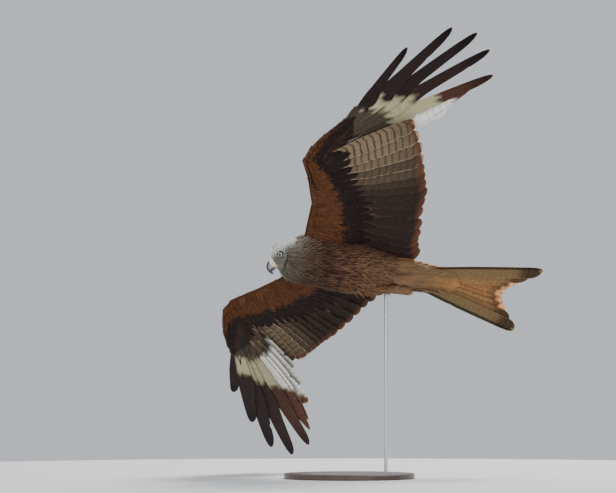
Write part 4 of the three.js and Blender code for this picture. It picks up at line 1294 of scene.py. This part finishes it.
def tail_colours(form):
    """Below: pale rufous in the middle, olive brown outside, dusky ends, a pale band at the fork
    brightened with painted backlit glow, and a dark outer edge deepened with painted shade.
    Above: bright rufous. Faint bars near the ends."""
    uu, vv, face = form[2:]
    out, v = (PAIR / 5.0)[:, None, None], vv[None, :, None]
    toward = uu[None] * np.where(RIGHT_HALF, -1, 1)[:, None]
    low = between(BELOW_MIDDLE, BELOW_OUTER, out)
    low = low * (1 - (0.35 + 0.4 * out) * ramp(v, 0.80, 0.87))
    # Painted backlit glow: a bright orange band at the ends of the inner eight feathers.
    low = between(low, FORK_BACKLIT_GLOW, ramp(v, 0.90, 0.93) * (PAIR < 4)[:, None, None])
    # Dark brown outer web of the outermost pair, deepened with painted shade.
    low = low * (1 - 0.78 * ((PAIR == 5)[:, None] & (toward > 0.05)))[..., None]
    high = TAIL_ABOVE * (1 - 0.25 * out) * (1 - 0.4 * ramp(v, 0.9, 1.0))
    ground = np.where((face < 0)[None, :, None], low, high) * np.ones((12, 1, 1))
    bars = 0.35 * ramp(vv[None], 0.5, 0.8) * np.ones((12, 1))
    return np.concatenate([ground, bars[..., None]], -1)


root, aim, up, outer, length = rectrices()
lead, trail = outline(RECTRIX, FLIGHT_V)
seat, size = cells(12, 4)
tail_tract = feathers(FLIGHT, root, aim, up, length,
                      torn(np.tile(lead, (12, 1)), FLIGHT_V, 1, 0.15),
                      torn(np.tile(trail, (12, 1)), FLIGHT_V, 3, 0.25), tail_colours(FLIGHT),
                      (0.09, 0.042, 0.022, 0.0), (0.40, 0.24, 0.12, 0.02), seat, outer,
                      camber=0.05, bend=0.02, patch=size)
coat_piece("tail_feathers", [tail_tract], TAIL_PLUMAGE, ("tail",))

# %% [markdown]
# Tail coverts run from the body over the roots of the tail on both faces, so that body and
# tail meet without a step. Laid by angle alone they would pierce the fan, so each one is
# aimed at a tip that lies just clear of the tail's own feathers.

# %% Tail coverts
# Each face: face, rows, reach of the first and last row, colour, height of the tips.
COVERT_FACES = ((1.0, 5, (70, 104), (0.26, 0.105, 0.04), 1.0),
                (-1.0, 7, (76, 96), (0.175, 0.105, 0.050), -18.0))
WARM_MIDDLE = [0.15, 0.045, 0.0]                       # added in the middle of the rows below
COVERTS_IN_ROW = 12


def tail_covert_rows():
    """Rows from the body back on both faces of the tail's root."""
    n = COVERTS_IN_ROW
    rows = []
    for face, count, reach, tone, tip_z in COVERT_FACES:
        for r in range(count):
            t = (np.arange(n) + 0.5 + 0.3 * (r % 2) - 0.15) / n
            beside = np.abs(2 * t - 1)                 # 0 in the middle of the row, 1 at its ends
            x = -104 - 13.0 * r - 4 * rng.random(n)
            a = np.pi * (0.08 + 0.84 * t) * face
            point = body_at(x, a, 2.5)
            length = np.interp(r, [0, count - 1], reach) * (1 - 0.25 * beside)
            tip = tip_z + 0.05 * np.minimum(x - length + 150, 0)
            aim = unit(np.c_[-np.ones(n), 0.12 * (1 - 2 * t), (tip - point[:, 2]) / length])
            normal = facing(body_at, x, a)[0]
            normal = unit(normal - aim * (aim * normal).sum(-1, keepdims=True))
            half = np.interp(r, [0, count - 1], [9, 11]) * np.ones((n, 1)) * ROUND
            warm = (ramp(r, 2, 6) * np.clip(1.4 - 2 * beside, 0, 1) * (face < 0))[:, None]
            colour = np.c_[np.array(tone) + warm * WARM_MIDDLE, 0 * t]
            rows.append(feathers(SMALL, point, aim, normal, length, half, half, colour,
                                 (0.12, 0.05, 0.022, 0.06), (0.32, 0.19, 0.09, 0.02),
                                 seats(2 * np.pi * t, x, -212, 140), camber=0.2, curl=-0.02))
    return rows


coat_piece("tail_coverts", tail_covert_rows(), TAIL_PLUMAGE)

# %% [markdown]
# The bill is horn: hooked far over the lower mandible, black at the tip and along its ridge,
# and paler low on the side where it leaves the cere, a pale base that is partly its own colour
# and partly painted sheen. It could be sculpted from a cone, but a hook is a tube whose
# sections turn as they go, so it is a tube through a few sections.

# %% Bill
# Rows of the bill: x, z, half height, half width and tilt. Rows of CERE: x, half width, half
# height and middle z.
BILL_UPPER = [[37.3, -4.8, 8.8, 7.4, 0], [42, -6.4, 7.8, 6.1, -20], [46.2, -10, 6.2, 4.8, -46],
              [48.2, -14.6, 4.4, 3.5, -72], [48.2, -20, 2.7, 2.2, -94],
              [46.6, -26, 0.5, 0.5, -106]]
BILL_LOWER = [[29.4, -17.4, 3.4, 7.0, 2], [37, -17.2, 3.0, 5.6, 2], [44, -16.6, 2.2, 4.0, 8],
              [48, -15.9, 1.0, 1.8, 12]]
CERE = [[28.4, 10.1, 12.2, -6.3], [29.5, 9.6, 11.4, -5.4], [33, 8.8, 10.3, -5.1],
        [36.5, 8.0, 9.4, -5.2], [37.6, 7.3, 8.7, -5.2]]


def horn(sections, rows, ridge, cols=36):
    """Tube through sections [x, z, half height, half width, tilt]: centre (x, 0, z), ring
    w cos a across and h sin a along the tilted section, with a ridge on its upper side."""
    s = np.array(sections, float)
    t = np.linspace(0, len(s) - 1, rows)
    x, z, h, w, tilt = np.moveaxis(through(np.c_[np.arange(len(s)), s], t), -1, 0)
    a = np.linspace(0, 2 * np.pi, cols, endpoint=False)
    tilt = np.radians(tilt)[:, None]
    up = h[:, None] * (np.sin(a) + ridge * np.clip(np.sin(a), 0, 1) ** 9)
    across = w[:, None] * np.sign(np.cos(a)) * np.abs(np.cos(a)) ** 1.05
    return np.stack([x[:, None] - up * np.sin(tilt), across, z[:, None] + up * np.cos(tilt)], -1)


def horn_finish(name, base, tip):
    """Polished horn: growth lines along it, paler low on the side where it leaves the cere, partly
    its own colour and partly painted sheen.
    """
    f = Finish(name, Specular_IOR_Level=0.5, Coat_Weight=0.35, Coat_Roughness=0.18)
    place = f.place()
    x, y, z = f.parts(place)
    lines = f.noise(f.vector(x * 900.0, y * 900.0, z * 160.0), 1.0, 3.0)
    root = f.step(f.attribute("along", 2), 0.10, 0.52)
    return f.feed(Base_Color=f.mix(root, base, f.mix(lines, tip, (0.045, 0.042, 0.045))),
                  Roughness=0.24 + lines * 0.2, Normal=f.bump(lines, 0.15, 0.0004))


def horn_piece(name, sections, replaces, ridge=0.0, rows=40):
    """One half of the bill; along is 0 low at the cere and grows to the tip and the ridge."""
    points = horn(sections, rows, ridge)
    flat, faces = joined([points])
    side = np.sin(np.linspace(0, 2 * np.pi, points.shape[1], endpoint=False)).clip(0) ** 2
    share = (np.linspace(0, 0.75, rows)[:, None] + 0.6 * side).ravel()
    piece(name, to_world(from_head(flat)), faces, BILL_HORN, replaces,
          attributes={"along": ("FLOAT", share)}, sharp=55)


# The pale base colour is partly painted sheen on the bill's side.
BILL_HORN = horn_finish("bill_horn", (0.36, 0.34, 0.31), (0.012, 0.012, 0.014))
horn_piece("bill_top", BILL_UPPER, ("bill_upper",), ridge=0.10)
horn_piece("bill_bottom", BILL_LOWER, ("bill_lower",), rows=24)

# %% [markdown]
# The cere at the bill's base is bare waxy skin, pale yellow, with a slit for each nostril.
# The slits could be cut out, but a pit pressed into the grid by formula keeps the surface
# closed, and the same formula paints shade into it.

# %% Cere
NOSTRIL_X, NOSTRIL_Z, NOSTRIL_SLANT = 33.4, -3.4, 0.45


def cere_surface():
    """Cere with nostrils: half width plus 0.5 exp(-(dx / 2.7)^2 - (dz / 1.6)^2) for the lip,
    minus 2.2 exp(-(dx / 1.8)^2 - (dz / 0.75)^2) for the slanting slit."""
    x, a = rings(28.4, 37.6, 56, 96)
    w, h, z = np.moveaxis(through(CERE, x), -1, 0)
    p = np.stack([x, w * np.cos(a), z + h * np.sin(a)], -1)
    dx = x - NOSTRIL_X
    dz = p[..., 2] - NOSTRIL_Z - dx * NOSTRIL_SLANT
    pit = np.exp(-(dx / 1.8) ** 2 - (dz / 0.75) ** 2) * (np.abs(p[..., 1]) > 3)
    lip = np.exp(-(dx / 2.7) ** 2 - (dz / 1.6) ** 2) * (np.abs(p[..., 1]) > 3)
    p[..., 1] += np.sign(p[..., 1]) * (0.5 * lip - 2.2 * pit)
    return p, pit


def cere_finish():
    """Waxy skin: mottled pale yellow, with painted shade inside the nostril."""
    f = Finish("cere_skin", Roughness=0.45, Specular_IOR_Level=0.4, Subsurface_Weight=0.1)
    f.shader.inputs["Subsurface Radius"].default_value = (0.004, 0.002, 0.001)
    cloud = f.noise(f.place(), 500.0, 3.0)
    base = f.mix(cloud, (0.80, 0.60, 0.40), (0.90, 0.76, 0.58))
    # Painted shade: the nostril's pit is near black.
    return f.feed(Base_Color=f.mix(f.attribute("dark", 2), base, (0.02, 0.012, 0.01)),
                  Normal=f.bump(cloud, 0.25, 0.0004))


CERE_SKIN = cere_finish()
p, pit = cere_surface()
flat, faces = joined([p])
piece("cere_skin_fold", to_world(from_head(flat)), faces, CERE_SKIN, ("cere",),
      # dark: painted shade in the nostril's pit.
      attributes={"dark": ("FLOAT", np.clip(pit.ravel() * 1.4 - 0.1, 0, 1))})


# %% Tubes along a path
def worm(path, radius, cols=12):
    """Tube of given radii along a path: centre + radius (side cos a + up sin a), rings square
    to the path."""
    path, radius = np.asarray(path, float), np.asarray(radius, float)
    ahead = unit(np.gradient(path, axis=0))
    side = unit(np.cross(ahead, [0.1, 0.2, 1.0]))
    up = np.cross(side, ahead)
    a = np.linspace(0, 2 * np.pi, cols, endpoint=False)
    return (path[:, None] + side[:, None] * (radius[:, None] * np.cos(a))[..., None]
            + up[:, None] * (radius[:, None] * np.sin(a))[..., None])


def many(name, tubes, material, slot, **numbers):
    """Several closed tubes as one piece, in the bird's axes; numbers fill attributes."""
    points, polygons = joined(tubes)
    fields = {key: ("FLOAT", np.full(len(points), value)) for key, value in numbers.items()}
    piece(name, to_world(points), polygons, material, attributes=fields)


print("points in one ring of a tube:", worm([[0, 0, 0], [1, 0, 0]], [1, 1]).shape[1])

# %% [markdown]
# The gape is the yellow skin that runs back from the cere along the mouth. A painted line
# would vanish among the feathers, so it is a thin tube on the head's surface, which tapers
# to nothing below the eye.

# %% Gape
GAPE_LINE_Z, GAPE_FRONT, GAPE_BACK, GAPE_THICK, HEAD_FRONT = -13.4, 31, 13.0, 1.5, 28.8

gape = []
for side in (1, -1):
    x = np.linspace(GAPE_FRONT, GAPE_BACK, 16)
    _, h, z = through(HEAD, np.minimum(x, HEAD_FRONT)).T
    on = head_at(np.minimum(x, HEAD_FRONT), np.arcsin(np.clip((GAPE_LINE_Z - z) / h, -0.98, 1)))
    on[:, 0] = x
    on[:, 1] *= side
    taper = np.sqrt(np.clip(np.linspace(1.2, 0.02, 16), 0, 1))
    gape.append(from_head(worm(on, GAPE_THICK * taper)))
many("gape", gape, CERE_SKIN, "cere_skin", dark=0.0)

# %% [markdown]
# A kite's eye is pale, with a small round pupil and a dark rim, set under a heavy brow.
# A cornea over a separate iris would be two more pieces inside the head, so one glossy ball
# carries its pattern by the angle from its own axis, and a ring of lid skin frames it.

# %% Finishes of the eye
def eye_finish():
    """off = sine of the angle from the eye's axis: pupil, iris with fine spokes, dark edge."""
    f = Finish("eye_glass", Roughness=0.08, Specular_IOR_Level=0.12, Coat_Weight=0.05,
               Coat_Roughness=0.03)
    off, spoke, _ = f.parts(f.attribute("iris"))
    rays = f.noise(f.vector(spoke * 9.0, off * 3.0, 0.0), 3.0, 3.0)
    iris = f.mix(rays, (0.62, 0.60, 0.46), (0.84, 0.83, 0.74))
    iris = f.mix(f.step(off, 0.52, 0.62), iris, (0.015, 0.013, 0.011))
    return f.feed(Base_Color=f.mix(f.step(off, 0.36, 0.40), (0.004, 0.004, 0.005), iris))


def lid_finish():
    """Wrinkled blackish skin."""
    f = Finish("lid_skin", Roughness=0.6)
    cloud = f.noise(f.place(), 700.0, 3.0)
    return f.feed(Base_Color=f.mix(cloud, (0.018, 0.017, 0.016), (0.05, 0.048, 0.045)),
                  Normal=f.bump(cloud, 0.4, 0.0003))


EYE_GLASS, LID_SKIN = eye_finish(), lid_finish()
print("finishes of the eye:", EYE_GLASS.name, LID_SKIN.name)


# %% Eyes
LID_RADIUS, LID_THICK, LID_OPEN, LID_NARROW = 8.35, 1.4, 0.76, 0.08


def round_axis(axes, t, a, radius):
    """Point at angle t from the first axis and angle a round it: radius (cos t look
    + sin t cos a across + sin t sin a rise)."""
    look, across, rise = axes
    return ((radius * np.cos(t))[..., None] * look
            + (radius * np.sin(t) * np.cos(a))[..., None] * across
            + (radius * np.sin(t) * np.sin(a))[..., None] * rise)


for side, name in ((1, "left"), (-1, "right")):
    look = unit(np.array([0.22, 0.96 * side, 0.10]))
    across = unit(np.cross(look, [0, 0, 1.0]))
    axes, centre = (look, across, np.cross(across, look)), EYE_AT * [1, side, 1]
    t, a = rings(0.01, np.pi - 0.05, 40, 48)
    bulge = EYE_RADIUS * (1 + 0.04 * np.exp(-(t / 0.4) ** 2))
    flat, faces = joined([(centre + round_axis(axes, t, a, bulge))[::-1]])
    iris = np.stack([np.sin(np.minimum(t, np.pi / 2)), a / (2 * np.pi), 0 * t], -1)[::-1]
    piece(f"eye_ball_{name}", to_world(from_head(flat)), faces, EYE_GLASS,
          (f"eye_{name}",), attributes={"iris": ("FLOAT_VECTOR", iris.reshape(-1, 3))})
    ring = np.linspace(0, 2 * np.pi, 60)
    path = centre + round_axis(axes, LID_OPEN - LID_NARROW * np.sin(ring) ** 2, ring, LID_RADIUS)
    many(f"lid_{name}", [from_head(worm(path, np.full(60, LID_THICK)))], LID_SKIN, "head_plumage")

# %% [markdown]
# In flight the legs are folded back under the tail coverts. The tarsi are bare and yellow,
# the toes half closed, with black curved claws. Little of them shows, so a rigged foot would
# be wasted: each toe and claw is a tube along a short path.

# %% Feet
SHANK = [(-66, 24, -49), (-84, 20, -49), (-103, 16, -45)]
HIND_TOE = [(-98, 17, -46), (-103, 18, -52), (-106, 18, -54)]
FRONT_TOES = ((-6, 22, 0), (0.5, 28, 1), (7, 23, 0))   # spread, reach and drop of each


def foot_finish():
    """Yellow skin with darker scutes."""
    f = Finish("foot_skin", Roughness=0.55, Specular_IOR_Level=0.35)
    scutes = f.node("ShaderNodeTexVoronoi", None, {"Vector": f.place(), "Scale": 900.0})
    return f.feed(Base_Color=f.mix(scutes, (0.42, 0.27, 0.06), (0.22, 0.13, 0.04)),
                  Normal=f.bump(scutes, 0.5, 0.0004))


def claw(root, curl, drop):
    """A tapering hook from the toe's end: 8 sin(curl t) back and drop t^1.5 down."""
    t = np.linspace(0, 1, 14)
    path = root + np.c_[-8 * np.sin(t * curl), 0 * t, -drop * t ** 1.5]
    return worm(path, 1.9 * (1 - t) ** 0.8 + 0.12)


toes, claws = [], []
for side in (1, -1):
    t, mirror = np.linspace(0, 1, 14), np.array([1, side, 1.0])
    toes.append(worm(along(SHANK, t) * mirror, 4.8 - 0.9 * t))
    for aside, reach, low in FRONT_TOES:
        path = along([(-98, 16, -45), (-100 - 0.6 * reach, 16 + 0.7 * aside, -44 - low),
                      (-100 - reach, 16 + aside, -45.5 - low)], t) * mirror
        toes.append(worm(path, 2.9 - 0.7 * t + 0.3 * np.abs(np.sin(t * 9))))
        claws.append(claw(path[-1], 1.4, 6))
    path = along(HIND_TOE, t) * mirror
    toes.append(worm(path, 2.9 - 0.9 * t))
    claws.append(claw(path[-1], 1.5, 4))
many("feet", toes, foot_finish(), "cere_skin")
many("claws", claws, BILL_HORN, "bill_horn", along=1.0)

# %% [markdown]
# The stand stays plain: a turned dark wooden base and a slim steel rod. Their solids already
# have the true shape, so new meshes would gain nothing: both keep the solids' own meshes and
# only get a finish.

# %% Stand
def wood_finish():
    """Stained wood: rings stretched along one way, fine pores, satin lacquer."""
    f = Finish("base_wood", Coat_Weight=0.3, Coat_Roughness=0.25)
    x, y, z = f.parts(f.place())
    grain = f.noise(f.vector(x * 6.0, y * 90.0, z * 30.0), 1.0, 5.0)
    pores = f.noise(f.vector(x * 60.0, y * 900.0, z * 200.0), 1.0, 3.0)
    tone = f.mix(grain, (0.030, 0.019, 0.013), (0.105, 0.062, 0.038))
    return f.feed(Base_Color=f.mix(f.step(pores, 0.60, 0.75), tone, (0.018, 0.011, 0.008)),
                  Roughness=0.34 + grain * 0.2, Normal=f.bump(grain * 0.6 - pores * 0.4, 0.2, 0.0004))


def steel_finish():
    """Brushed steel: streaks along the rod."""
    f = Finish("rod_steel", Metallic=1.0)
    x, y, z = f.parts(f.place())
    streaks = f.noise(f.vector(x * 2400.0, y * 2400.0, z * 12.0), 1.0, 3.0)
    return f.feed(Base_Color=f.mix(streaks, (0.50, 0.51, 0.53), (0.66, 0.67, 0.69)),
                  Roughness=0.26 + streaks * 0.16, Normal=f.bump(streaks, 0.1, 0.0002))


for node, material in (("stand_base", wood_finish()), ("stand_rod", steel_finish())):
    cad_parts[node].data.materials.clear()
    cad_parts[node].data.materials.append(material)
    print(node, "gets", material.name)

# %% [markdown]
